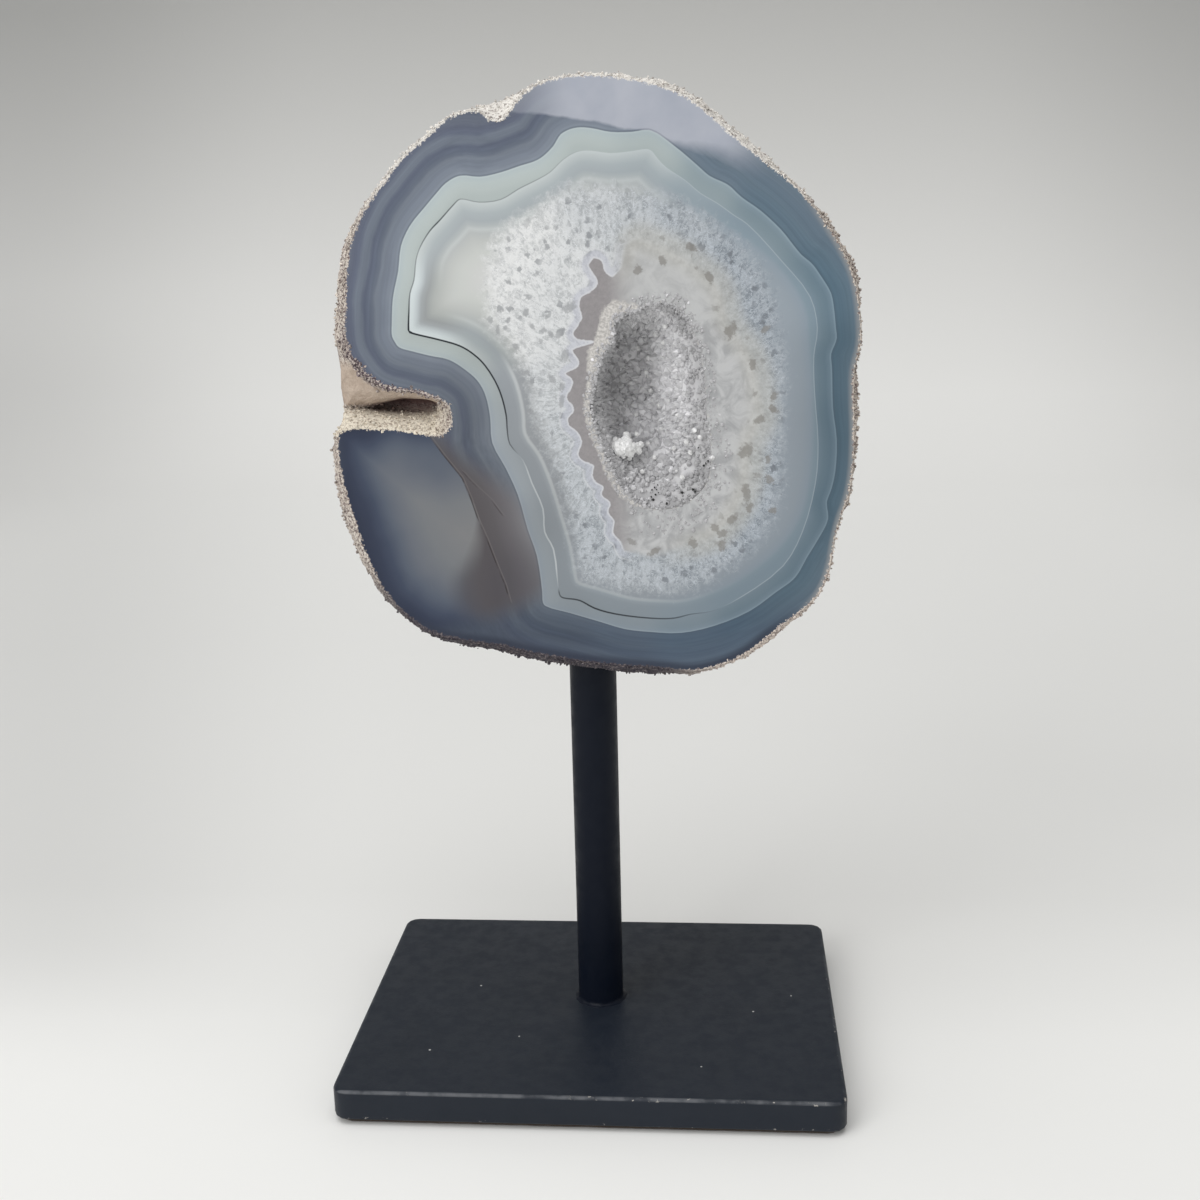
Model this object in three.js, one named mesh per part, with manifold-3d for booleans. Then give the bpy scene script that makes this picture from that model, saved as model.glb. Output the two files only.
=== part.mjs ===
// Agate geode on a stand: half an agate nodule with a polished face and a crystal-lined hollow,
// held up by a round rod on a flat iron plate with a felt pad under it.
// Millimetres, +Z up, the polished face looks along -Y. The origin is under the middle of the pad.

import * as THREE from 'three';
import { mergeVertices } from 'three/addons/utils/BufferGeometryUtils.js';
import Module from 'manifold-3d';

const wasm = await Module();
wasm.setup();

// Stand
const plateWidth = 102;
const plateDepth = 76;
const plateThickness = 6.3;
const plateCornerRadius = 3;
const plateEdgeBevel = 0.5;
const padThickness = 1.2;
const padInset = 1;
const postRadius = 4.9;
const postY = 2;
const postSides = 32;
const weldSize = 0.6;
const postTopChamfer = 0.6;
const plateTop = padThickness + plateThickness;

// Hole drilled in the underside of the stone for the rod
const postTop = 99;
const fitGap = 0.3;

// Stone: the polished face stands in the plane y = faceY, the rough back bulges behind it
const faceY = -13;
const stoneCentre = { x: 2, z: 143 };
const samplesPerStation = 2;

// Edge of the polished face, clockwise from above the slot, each with
// x, how far the rough rind stands out beyond the edge there, z
const edgeStations = [
  [-43.4, 4.3, 151.0], [-44.0, 3.8, 155.0], [-43.5, 3.3, 161.0], [-42.6, 3.3, 167.8],
  [-41.2, 2.6, 172.2], [-38.8, 2.2, 176.6], [-34.9, 1.6, 181.6], [-31.1, 1.3, 186.0],
  [-26.5, 1.7, 189.2], [-21.8, 1.6, 192.4], [-17.0, 2.6, 192.2], [-14.4, 4.8, 191.0],
  [-10.4, 5.2, 192.0], [-8.6, 2.8, 195.8], [-4.7, 1.9, 197.8], [0.0, 1.4, 198.8],
  [5.3, 1.7, 198.6], [10.0, 1.8, 197.9], [14.7, 2.2, 196.7], [20.0, 1.9, 194.8],
  [24.3, 2.1, 191.5], [29.0, 2.1, 187.4], [34.3, 1.5, 183.4], [39.2, 0.9, 179.8],
  [43.2, 1.3, 175.5], [47.8, 1.5, 168.8], [50.6, 1.6, 163.0], [52.0, 1.3, 156.7],
  [52.3, 1.2, 150.3], [51.3, 1.2, 145.8], [51.0, 2.0, 140.2], [51.5, 1.2, 134.5],
  [51.3, 1.3, 127.0], [50.4, 1.6, 121.9], [49.0, 1.4, 117.5], [48.2, 1.1, 113.3],
  [47.2, 1.6, 108.3], [45.2, 1.6, 103.2], [42.0, 2.3, 100.2], [38.0, 2.7, 97.0],
  [31.5, 2.7, 91.7], [26.5, 2.6, 89.2], [21.2, 2.9, 88.0], [14.7, 3.6, 88.6],
  [7.0, 3.6, 89.2], [-1.0, 3.4, 90.1], [-9.1, 3.6, 91.5], [-17.3, 3.6, 93.4],
  [-23.5, 3.3, 94.2], [-30.7, 2.8, 95.9], [-35.9, 2.7, 99.8], [-39.7, 2.8, 104.6],
  [-42.9, 3.4, 112.1], [-44.5, 3.6, 118.1], [-46.3, 3.3, 126.0], [-46.9, 2.6, 132.0],
  [-46.5, 2.2, 135.4],
];

// The slot in the left side, from its lower lip in to its end and out again, each with
// x and z on the face, then x and z where its walls close to a narrow slit behind the face
const slotStations = [
  [-44.5, 136.4, -47.4, 138.4], [-41.0, 136.3, -44.0, 139.2], [-35.6, 136.0, -38.0, 139.6],
  [-30.5, 135.2, -33.0, 139.8], [-27.0, 134.8, -30.5, 140.0], [-24.9, 137.0, -29.0, 140.4],
  [-25.2, 140.0, -29.2, 140.9], [-27.2, 141.5, -31.5, 141.2], [-32.0, 143.0, -36.5, 141.3],
  [-37.5, 144.0, -42.5, 141.4], [-40.5, 145.8, -47.0, 141.8], [-42.6, 148.4, -48.0, 145.6],
];
const slitDent = 0.8;

// Sections of the stone from the face to the back: y, share of the rind's bulge, size about
// the centre, how far the slot has closed to a slit, how far the slit has closed to nothing,
// how round the outline has become, and how rough the surface is
const stoneSections = [
  { y: faceY, bulge: 0, size: 1, slit: 0, closed: 0, round: 0, rough: 0 },
  { y: -12.4, bulge: 0.35, size: 1, slit: 0.12, closed: 0, round: 0, rough: 0.2 },
  { y: -10.4, bulge: 0.8, size: 1, slit: 0.6, closed: 0, round: 0, rough: 0.4 },
  { y: -7, bulge: 1, size: 1, slit: 1, closed: 0, round: 0, rough: 0.4 },
  { y: -2, bulge: 1, size: 0.992, slit: 1, closed: 0.6, round: 0.15, rough: 0.8 },
  { y: 4, bulge: 1, size: 0.965, slit: 1, closed: 1, round: 0.4, rough: 1 },
  { y: 11, bulge: 1, size: 0.89, slit: 1, closed: 1, round: 0.7, rough: 1.2 },
  { y: 17.5, bulge: 1, size: 0.75, slit: 1, closed: 1, round: 0.9, rough: 1.3 },
  { y: 22.5, bulge: 1, size: 0.545, slit: 1, closed: 1, round: 1, rough: 1.3 },
  { y: 25.8, bulge: 1, size: 0.29, slit: 1, closed: 1, round: 1, rough: 1 },
];
const stoneBackY = 27.3;
const roundHalfWidth = 51;
const roundHalfHeight = 58;
const lumpHeight = 1.0;
const pitDepth = 0.7;

// Mouth of the crystal-lined hollow on the face: x, z
const mouthStations = [
  [3.6, 133.3], [2.6, 136.5], [2.0, 140.0], [3.0, 144.5], [4.3, 148.8], [6.5, 152.0],
  [7.4, 156.0], [11.0, 157.6], [15.5, 158.8], [19.5, 157.5], [22.3, 152.0], [23.8, 145.0],
  [24.2, 138.0], [25.0, 131.0], [24.0, 124.5], [19.5, 120.5], [13.5, 119.8], [8.8, 122.5],
  [5.6, 128.0],
];
const mouthCentre = { x: 13, z: 139 };

// Sections of the hollow from its mouth inward: y, centre x and z, size of the mouth's outline.
// The left wall stays steep and the right wall slopes in gently
const hollowSections = [
  { y: faceY, x: 13, z: 139, size: 1 },
  { y: -9.6, x: 11.4, z: 140, size: 0.93 },
  { y: -5, x: 9.8, z: 141.5, size: 0.78 },
  { y: -0.5, x: 8.9, z: 143, size: 0.58 },
  { y: 2.8, x: 8.5, z: 144, size: 0.32 },
];
const hollowFloorY = 4.2;
const mouthOverrun = 2;

// Crust of quartz crystals in the hollow
const crustThickness = 1.7;
const crustGap = 0.45;
const crystalRows = 7;
const crystalsPerRow = 13;
const crystalRadius = { low: 1.2, high: 2.2 };
const crystalHeight = { low: 1.6, high: 3.6 };
const crystalFoot = 1.2;

const lerp = THREE.MathUtils.lerp;

// Repeatable random numbers from 0 to 1
function makeRandom(seed) {
  let state = seed;
  return () => {
    state = (state * 16807) % 2147483647;
    return state / 2147483647;
  };
}

// A closed geometry from corner points and triangles of indices
function geometryFrom(points, triangles) {
  const geometry = new THREE.BufferGeometry();
  geometry.setAttribute('position', new THREE.Float32BufferAttribute(points.flat(), 3));
  geometry.setIndex(triangles.flat());
  return geometry;
}

// A closed geometry as a solid that can be cut and joined
function toSolid(geometry) {
  const bare = geometry.clone();
  bare.deleteAttribute('normal');
  bare.deleteAttribute('uv');
  const merged = mergeVertices(bare, 1e-4);
  const mesh = new wasm.Mesh({
    numProp: 3,
    vertProperties: new Float32Array(merged.attributes.position.array),
    triVerts: new Uint32Array(merged.index.array),
  });
  return new wasm.Manifold(mesh);
}

// A solid back as a flat-shaded geometry
function toGeometry(solid) {
  const mesh = solid.getMesh();
  const geometry = new THREE.BufferGeometry();
  const positions = new THREE.BufferAttribute(mesh.vertProperties, mesh.numProp);
  geometry.setAttribute('position', positions);
  geometry.setIndex(new THREE.BufferAttribute(mesh.triVerts, 1));
  const flat = geometry.toNonIndexed();
  flat.computeVertexNormals();
  return flat;
}

// Joins rings of equal length into one skin, closed by the given end caps
function skinBetweenRings(rings, firstCap, lastCap) {
  const count = rings[0].length;
  const points = rings.flat();
  const triangles = [];
  for (let r = 0; r < rings.length - 1; r += 1) {
    for (let i = 0; i < count; i += 1) {
      const next = (i + 1) % count;
      const a = r * count + i;
      const b = r * count + next;
      const c = a + count;
      const d = b + count;
      triangles.push([a, b, d], [a, d, c]);
    }
  }
  firstCap(points, triangles, 0, count);
  lastCap(points, triangles, (rings.length - 1) * count, count);
  return geometryFrom(points, triangles);
}

// A flat cap over an outline that may bend inwards
function flatCap(points, triangles, start, count) {
  const outline = points.slice(start, start + count).map((p) => new THREE.Vector2(p[0], p[2]));
  for (const [a, b, c] of THREE.ShapeUtils.triangulateShape(outline, [])) {
    triangles.push([start + a, start + b, start + c]);
  }
}

// A fan of triangles to one point
function fanCap(apex) {
  return (points, triangles, start, count) => {
    const tip = points.push(apex) - 1;
    for (let i = 0; i < count; i += 1) {
      triangles.push([start + i, start + ((i + 1) % count), tip]);
    }
  };
}

// A flat plate with rounded corners and softened edges, its underside at z = 0
function roundedPlate(width, depth, thickness, radius, bevel) {
  const x = width / 2 - bevel;
  const y = depth / 2 - bevel;
  const r = radius - bevel;
  const outline = new THREE.Shape();
  outline.moveTo(-x + r, -y);
  outline.lineTo(x - r, -y);
  outline.absarc(x - r, -y + r, r, -Math.PI / 2, 0);
  outline.absarc(x - r, y - r, r, 0, Math.PI / 2);
  outline.absarc(-x + r, y - r, r, Math.PI / 2, Math.PI);
  outline.absarc(-x + r, -y + r, r, Math.PI, Math.PI * 1.5);
  const geometry = new THREE.ExtrudeGeometry(outline, {
    depth: thickness - 2 * bevel,
    bevelEnabled: bevel > 0,
    bevelThickness: bevel,
    bevelSize: bevel,
    bevelSegments: 2,
    curveSegments: 5,
  });
  return geometry.translate(0, 0, bevel);
}

// A turned shape about the Z axis from radius and height pairs
function turned(profile, sides) {
  const geometry = new THREE.LatheGeometry(profile.map(([r, z]) => new THREE.Vector2(r, z)), sides);
  return geometry.rotateX(Math.PI / 2);
}

// The rod, with a small ring of weld at its foot and a chamfered top end
function postGeometry() {
  return turned([
    [0, plateTop],
    [postRadius + weldSize, plateTop],
    [postRadius, plateTop + weldSize],
    [postRadius, postTop - postTopChamfer],
    [postRadius - postTopChamfer, postTop],
    [0, postTop],
  ], postSides);
}

// The hole in the stone that the rod stands in
function postHoleGeometry() {
  const below = stoneCentre.z - 75;
  return turned([
    [0, below],
    [postRadius + fitGap, below],
    [postRadius + fitGap, postTop + fitGap],
    [0, postTop + fitGap],
  ], postSides);
}

// The edge of the face as points with their outward direction and rind, slot points included
function faceEdge() {
  const slot = slotStations.map(([x, z]) => new THREE.Vector3(x, 0, z));
  const main = edgeStations.map(([x, rind, z]) => new THREE.Vector3(x, rind, z));
  const curve = new THREE.CatmullRomCurve3([...main, ...slot], true, 'centripetal');
  const total = main.length + slot.length;
  const lastMain = main.length - 1;
  const samples = [];
  for (let s = 0; s < total; s += 1) {
    const steps = s >= lastMain ? 1 : samplesPerStation;
    for (let k = 0; k < steps; k += 1) {
      const at = (s + k / steps) / total;
      const point = curve.getPoint(at);
      const outward = new THREE.Vector2(point.x - stoneCentre.x, point.z - stoneCentre.z);
      outward.normalize();
      const slotIndex = s > lastMain ? s - main.length : -1;
      samples.push({ x: point.x, z: point.z, rind: Math.max(point.y, 0), outward, slotIndex });
    }
  }
  return samples;
}

// Lumps and pits of the rind: a few waves of different lengths added up
function lumps(x, y, z) {
  const broad = Math.sin(x * 0.31 + z * 0.17) * Math.sin(y * 0.35 + z * 0.23 + 1);
  const medium = Math.sin(x * 0.83 - y * 0.6) * Math.sin(z * 0.71 + y * 0.9);
  const fine = Math.sin(x * 1.9 + y * 2.3) * Math.sin(z * 2.1 - y * 1.3);
  return lumpHeight * (0.5 * broad + 0.35 * medium + 0.25 * fine);
}

// Distance from the centre to the rounded outline of the back in one direction
function roundReach(out) {
  const angle = Math.atan2(out.y, out.x);
  return 1 / Math.hypot(Math.cos(angle) / roundHalfWidth, Math.sin(angle) / roundHalfHeight);
}

// One point of a section behind the face
function sectionPoint(sample, section, lipLow, lipHigh, random) {
  let x = sample.x + sample.outward.x * sample.rind * section.bulge;
  let z = sample.z + sample.outward.y * sample.rind * section.bulge;
  if (sample.slotIndex >= 0) {
    const [, , slitX, slitZ] = slotStations[sample.slotIndex];
    const share = (sample.slotIndex + 1) / (slotStations.length + 1);
    const closedX = lerp(lipLow.x, lipHigh.x, share) + slitDent * Math.sin(share * Math.PI);
    const closedZ = lerp(lipLow.z, lipHigh.z, share);
    x = lerp(lerp(sample.x, slitX, section.slit), closedX, section.closed);
    z = lerp(lerp(sample.z, slitZ, section.slit), closedZ, section.closed);
  }
  const roughness = section.rough * (sample.slotIndex >= 0 ? section.closed : 1);
  const out = new THREE.Vector2(x - stoneCentre.x, z - stoneCentre.z);
  const reach = lerp(out.length(), roundReach(out), section.round) * section.size;
  const pit = random() * pitDepth * section.size;
  const relief = lumps(x * section.size, section.y, z * section.size) - pit;
  out.setLength(reach + relief * roughness);
  return [stoneCentre.x + out.x, section.y, stoneCentre.z + out.y];
}

// Where the rind is widest at a lip of the slot
function lipOf(sample) {
  return {
    x: sample.x + sample.outward.x * sample.rind,
    z: sample.z + sample.outward.y * sample.rind,
  };
}

// The nodule before the hollow and the hole are cut in it
function noduleGeometry() {
  const samples = faceEdge();
  const lipHigh = lipOf(samples[0]);
  const lipLow = lipOf(samples[samples.length - slotStations.length - 1]);
  const random = makeRandom(7);
  const rings = stoneSections.map((section) => samples.map(
    (sample) => sectionPoint(sample, section, lipLow, lipHigh, random),
  ));
  const back = [stoneCentre.x, stoneBackY, stoneCentre.z];
  return skinBetweenRings(rings, flatCap, fanCap(back));
}

// The outline of the hollow's mouth as offsets from its centre
function mouthOutline() {
  const stations = mouthStations.map(([x, z]) => new THREE.Vector3(x, 0, z));
  const curve = new THREE.CatmullRomCurve3(stations, true, 'centripetal');
  const count = stations.length * samplesPerStation;
  return Array.from({ length: count }, (_, i) => {
    const point = curve.getPoint(i / count);
    return new THREE.Vector2(point.x - mouthCentre.x, point.z - mouthCentre.z);
  });
}

// One ring of the hollow's wall, drawn in from it by inset
function hollowRing(outline, section, inset) {
  return outline.map((offset) => {
    const reach = Math.max(offset.length() * section.size - inset, 0.5);
    const out = offset.clone().setLength(reach);
    return [section.x + out.x, section.y - inset * (1 - section.size), section.z + out.y];
  });
}

// The space of the hollow as a solid, drawn in by inset, run out past the face by overrun
function hollowGeometry(inset, overrun) {
  const outline = mouthOutline();
  const sections = [...hollowSections];
  if (overrun > 0) {
    sections.unshift({ ...hollowSections[0], y: faceY - overrun });
  }
  const rings = sections.map((section) => hollowRing(outline, section, inset));
  const deepest = hollowSections[hollowSections.length - 1];
  const floor = [deepest.x, hollowFloorY - inset, deepest.z];
  return skinBetweenRings(rings, flatCap, fanCap(floor));
}

// One six-sided quartz crystal, its foot below z = 0 and its point up
function crystalGeometry(radius, height) {
  return turned([
    [0, -crystalFoot],
    [radius, -crystalFoot],
    [radius * 0.94, height * 0.45],
    [0, height],
  ], 6);
}

// Where crystals stand on the wall of the hollow and which way they point
function crystalPlaces(random) {
  const outline = mouthOutline();
  const places = [];
  const reachOf = new THREE.CatmullRomCurve3(hollowSections.map(
    (section) => new THREE.Vector3(section.x, section.y, section.z),
  ));
  const deepest = hollowSections[hollowSections.length - 1];
  for (let row = 0; row < crystalRows; row += 1) {
    const depth = (row + 0.55) / (crystalRows + 0.3);
    const centre = reachOf.getPoint(depth);
    const size = 1 - 0.88 * depth ** 1.5;
    const across = Math.max(4, Math.round(crystalsPerRow * size));
    for (let i = 0; i < across; i += 1) {
      const at = ((i + row / 2 + (random() - 0.5) * 0.5) / across) * outline.length;
      const offset = outline[Math.floor(at + outline.length) % outline.length];
      const out = offset.clone().setLength(offset.length() * size - crustThickness);
      const place = new THREE.Vector3(centre.x + out.x, centre.y, centre.z + out.y);
      const aim = new THREE.Vector3(deepest.x, lerp(faceY, hollowFloorY, 0.25), deepest.z);
      const tilt = new THREE.Vector3(random() - 0.5, random() - 0.5, random() - 0.5);
      const direction = aim.sub(place).normalize().addScaledVector(tilt, 0.8).normalize();
      places.push({ place, direction });
    }
  }
  return places;
}

// The crust: a shell in the hollow with crystals grown on it, kept clear of the stone
function druseGeometry() {
  const random = makeRandom(41);
  const room = toSolid(hollowGeometry(crustGap, 0));
  const space = toSolid(hollowGeometry(crustGap + crustThickness, mouthOverrun));
  let crust = room.subtract(space);
  for (const { place, direction } of crystalPlaces(random)) {
    const radius = lerp(crystalRadius.low, crystalRadius.high, random());
    const height = lerp(crystalHeight.low, crystalHeight.high, random());
    const crystal = crystalGeometry(radius, height);
    const turn = new THREE.Quaternion();
    turn.setFromUnitVectors(new THREE.Vector3(0, 0, 1), direction);
    crystal.rotateZ(random() * Math.PI);
    crystal.applyQuaternion(turn);
    crystal.translate(place.x, place.y, place.z);
    crust = crust.add(toSolid(crystal));
  }
  return toGeometry(crust.intersect(room));
}

// The stone with the hollow and the hole for the rod
function stoneGeometry() {
  const hole = toSolid(postHoleGeometry().translate(0, postY, 0));
  const hollow = toSolid(hollowGeometry(0, mouthOverrun));
  return toGeometry(toSolid(noduleGeometry()).subtract(hollow).subtract(hole));
}

function namedMesh(name, geometry, look) {
  const mesh = new THREE.Mesh(geometry, new THREE.MeshStandardMaterial(look));
  mesh.name = name;
  return mesh;
}

function buildStand() {
  const stand = new THREE.Group();
  const pad = namedMesh('felt_pad', roundedPlate(
    plateWidth - 2 * padInset, plateDepth - 2 * padInset, padThickness, plateCornerRadius, 0,
  ), { color: 0x2e2420, roughness: 0.95, metalness: 0 });
  const plate = namedMesh('base_plate', roundedPlate(
    plateWidth, plateDepth, plateThickness, plateCornerRadius, plateEdgeBevel,
  ), { color: 0x22262d, roughness: 0.55, metalness: 0.3 });
  plate.position.z = padThickness;
  const post = namedMesh('post', postGeometry(), { color: 0x1c212a, roughness: 0.5, metalness: 0.3 });
  post.position.y = postY;
  stand.add(pad, plate, post);
  return stand;
}

function buildGeode() {
  const geode = new THREE.Group();
  geode.add(
    namedMesh('agate_stone', stoneGeometry(), { color: 0x8f9cab, roughness: 0.25, metalness: 0 }),
    namedMesh('quartz_druse', druseGeometry(), { color: 0xc9c8c6, roughness: 0.15, metalness: 0 }),
  );
  return geode;
}

const part = new THREE.Group();
part.add(buildStand(), buildGeode());

export default part;
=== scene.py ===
import math

import bpy
import numpy as np
from mathutils import Matrix, Vector


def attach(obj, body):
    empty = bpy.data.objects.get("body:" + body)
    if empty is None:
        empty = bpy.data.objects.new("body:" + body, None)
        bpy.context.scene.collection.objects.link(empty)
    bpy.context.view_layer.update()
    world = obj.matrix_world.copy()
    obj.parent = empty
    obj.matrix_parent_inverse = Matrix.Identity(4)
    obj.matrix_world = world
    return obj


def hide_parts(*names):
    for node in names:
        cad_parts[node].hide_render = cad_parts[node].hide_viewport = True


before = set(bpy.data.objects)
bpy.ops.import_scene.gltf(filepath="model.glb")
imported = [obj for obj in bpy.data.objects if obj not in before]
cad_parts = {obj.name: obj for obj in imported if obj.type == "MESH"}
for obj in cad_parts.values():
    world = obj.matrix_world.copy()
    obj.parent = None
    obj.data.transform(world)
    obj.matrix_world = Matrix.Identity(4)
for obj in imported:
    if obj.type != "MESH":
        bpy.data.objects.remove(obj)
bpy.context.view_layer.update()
print("frame loaded, nodes:", sorted(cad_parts))

mm = 0.001  # lengths below are in millimetres and are scaled once, when a mesh is made
scene = bpy.context.scene
scene.view_settings.view_transform = "Standard"
scene.view_settings.look = "None"

# ---- camera: stands a little right of the stone and looks slightly down at it
camera = {
    "place": (26.1, -285.9, 169.2),
    "turn": 4.82,  # degrees to the right of straight in front
    "down": 13.84,
    "roll": -1.37,
    "lens": 43.02,
    "sensor": 36.0,
}


def makeCamera(c):
    a, p, r = (math.radians(c[k]) for k in ("turn", "down", "roll"))
    back = Vector((math.sin(a) * math.cos(p), -math.cos(a) * math.cos(p), math.sin(p)))
    level = Vector((math.cos(a), math.sin(a), 0))
    upright = back.cross(level)
    right = level * math.cos(r) + upright * math.sin(r)
    up = upright * math.cos(r) - level * math.sin(r)
    data = bpy.data.cameras.new("camera")
    data.lens = c["lens"]
    data.sensor_width = c["sensor"]
    data.clip_start, data.clip_end = 0.01, 20
    made = bpy.data.objects.new("camera", data)
    scene.collection.objects.link(made)
    turn = Matrix((right, up, back)).transposed().to_4x4()
    made.matrix_world = Matrix.Translation(Vector(c["place"]) * mm) @ turn
    scene.camera = made


makeCamera(camera)
print("camera placed")


# ---- small helpers for curves, noise and meshes

def stepUp(value, low, high):
    # 0 below low, 1 above high, an S curve between them
    t = np.clip((value - low) / (high - low), 0, 1)
    return t * t * (3 - 2 * t)


def runAlong(loop):
    # a closed line with its first point again at the end, and the length up to each point
    closed = np.vstack([loop, loop[:1]])
    return closed, np.append(0, np.cumsum(np.linalg.norm(np.diff(closed, axis=0), axis=1)))


def loopThrough(stations, perSpan):
    # closed centripetal Catmull-Rom curve: each span is a cubic whose end slopes weigh the
    # neighbouring chords by the square roots of their lengths
    p1 = np.asarray(stations, float)
    p0, p2, p3 = np.roll(p1, 1, 0), np.roll(p1, -1, 0), np.roll(p1, -2, 0)
    d0, d1, d2 = (np.sqrt(np.linalg.norm(b - a, axis=1))[:, None]
                  for a, b in ((p0, p1), (p1, p2), (p2, p3)))
    slope1 = d1 * ((p1 - p0) / d0 - (p2 - p0) / (d0 + d1) + (p2 - p1) / d1)
    slope2 = d1 * ((p2 - p1) / d1 - (p3 - p1) / (d1 + d2) + (p3 - p2) / d2)
    s = (np.arange(perSpan) / perSpan)[None, :, None]
    p1, p2, slope1, slope2 = (v[:, None, :] for v in (p1, p2, slope1, slope2))
    curve = ((2 * s**3 - 3 * s**2 + 1) * p1 + (s**3 - 2 * s**2 + s) * slope1
             + (3 * s**2 - 2 * s**3) * p2 + (s**3 - s**2) * slope2)
    return curve.reshape(-1, curve.shape[-1])


def alongLoop(loop, shares):
    # points of a closed line at shares 0..1 of its length
    closed, run = runAlong(loop)
    return np.stack([np.interp(np.mod(shares, 1) * run[-1], run, closed[:, k])
                     for k in range(closed.shape[1])], -1)


def shareAt(loop, points):
    # share of the loop's length at its corner nearest to each point
    run = runAlong(loop)[1]
    near = np.linalg.norm(np.asarray(points)[:, None] - loop[None, :], axis=2).argmin(1)
    return run[near] / run[-1]


def matchLoops(pairs, fromLoop, toLoop, shares):
    # carries shares of one loop over to another through pairs of points that belong together
    a = shareAt(fromLoop, [p[0] for p in pairs])
    b = shareAt(toLoop, [p[1] for p in pairs])
    order = np.argsort(a)
    a, b = a[order], b[order]
    b = np.unwrap(b * 2 * np.pi) / (2 * np.pi)
    b = np.maximum.accumulate(b)
    return np.interp(shares, np.concatenate([[a[-1] - 1], a, [a[0] + 1]]),
                     np.concatenate([[b[-1] - 1], b, [b[0] + 1]]))


def awayFrom(points, line, closed, batch=6000):
    # signed distance of points (n, 2) from a line, and the share of the line at the nearest place:
    # positive inside a closed line, positive on the left of an open one
    line = np.asarray(line, float)
    a = line if closed else line[:-1]
    b = np.roll(line, -1, 0) if closed else line[1:]
    ab = b - a
    length2 = np.maximum((ab**2).sum(1), 1e-12)
    distance, share = np.empty(len(points)), np.empty(len(points))
    for start in range(0, len(points), batch):
        p = points[start:start + batch]
        ap = p[:, None, :] - a[None]
        t = np.clip((ap * ab).sum(2) / length2, 0, 1)
        gap = ap - t[..., None] * ab
        gap2 = (gap**2).sum(2)
        best = gap2.argmin(1)
        rows = np.arange(len(p))
        share[start:start + batch] = (best + t[rows, best]) / len(a)
        if closed:
            over = (a[None, :, 1] > p[:, None, 1]) != (b[None, :, 1] > p[:, None, 1])
            rise = np.where(np.abs(ab[:, 1]) < 1e-12, 1e-12, ab[:, 1])
            cross = p[:, None, 0] < a[None, :, 0] + ap[..., 1] * (ab[:, 0] / rise)
            sign = np.where((over & cross).sum(1) % 2 == 1, 1.0, -1.0)
        else:
            turn = ab[best, 0] * ap[rows, best, 1] - ab[best, 1] * ap[rows, best, 0]
            sign = np.where(turn >= 0, 1.0, -1.0)
        distance[start:start + batch] = sign * np.sqrt(gap2[rows, best])
    return distance, share


def lumps(points, size, seed):
    # value noise from 0 to 1: a random height at each lattice point, blended smoothly between
    q = points / size
    cell = np.floor(q).astype(np.int64)
    f = q - cell
    f = f * f * (3 - 2 * f)
    total = 0
    for corner in np.ndindex(2, 2, 2):
        at = cell + corner
        h = at[..., 0] * 73856093 ^ at[..., 1] * 19349663 ^ at[..., 2] * 83492791 ^ seed * 2654435
        h = (h ^ (h >> 13)) * 1274126177 & 0x7FFFFFFF
        h = (h ^ (h >> 15)) & 0xFFFF
        total = total + h / 65535 * np.prod(np.where(corner, f, 1 - f), axis=-1)
    return total


def makeObject(name, points, faces, smooth=True):
    mesh = bpy.data.meshes.new(name)
    mesh.from_pydata((np.asarray(points).reshape(-1, 3) * mm).tolist(), [], faces)
    mesh.polygons.foreach_set("use_smooth", np.full(len(mesh.polygons), smooth))
    mesh.update()
    made = bpy.data.objects.new(name, mesh)
    scene.collection.objects.link(made)
    return made


def gridFaces(rows, cols):
    # quads between neighbouring rows of a grid that closes on itself sideways
    i, j = np.meshgrid(np.arange(rows - 1), np.arange(cols), indexing="ij")
    k = (j + 1) % cols
    return np.stack([i * cols + j, i * cols + k, (i + 1) * cols + k, (i + 1) * cols + j],
                    -1).reshape(-1, 4)


def closedSkin(rings, firstPole, lastPole):
    # rows of rings closed by a point at each end, faces turned outwards by the sign of the volume
    rows, cols = rings.shape[:2]
    points = np.vstack([rings.reshape(-1, 3), firstPole, lastPole])
    quads = gridFaces(rows, cols)
    j = np.arange(cols)
    k = (j + 1) % cols
    last = (rows - 1) * cols
    firstFan = np.stack([k, j, np.full(cols, rows * cols)], -1)
    lastFan = np.stack([last + j, last + k, np.full(cols, rows * cols + 1)], -1)
    triangles = np.vstack([quads[:, :3], quads[:, [0, 2, 3]], firstFan, lastFan])
    a, b, c = (points[triangles[:, n]] for n in range(3))
    if (a * np.cross(b, c)).sum() < 0:
        quads, firstFan, lastFan = quads[:, ::-1], firstFan[:, ::-1], lastFan[:, ::-1]
    return points, firstFan.tolist() + quads.tolist() + lastFan.tolist()


def storeNumbers(made, **fields):
    # one number per vertex under each name, or a colour where four are given
    for name, values in fields.items():
        values = np.asarray(values, np.float32)
        kind = "FLOAT" if values.ndim == 1 else "FLOAT_COLOR"
        layer = made.data.attributes.new(name, kind, "POINT")
        layer.data.foreach_set("value" if values.ndim == 1 else "color", values.ravel())


# ---- helpers for materials: they add nodes to the tree of the material that was begun last
drawing = {}


def rgb(red, green, blue):
    # a colour read off a screen, 0 to 255, as the shader wants it
    c = np.array([red, green, blue]) / 255
    c = np.where(c <= 0.04045, c / 12.92, ((c + 0.055) / 1.055) ** 2.4)
    return (*c.tolist(), 1.0)


def startMaterial(name, **sockets):
    material = bpy.data.materials.new(name)
    material.use_nodes = True
    drawing["tree"] = material.node_tree
    shader = material.node_tree.nodes["Principled BSDF"]
    feed(shader, {key.replace("_", " "): value for key, value in sockets.items()})
    return material, shader


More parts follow.
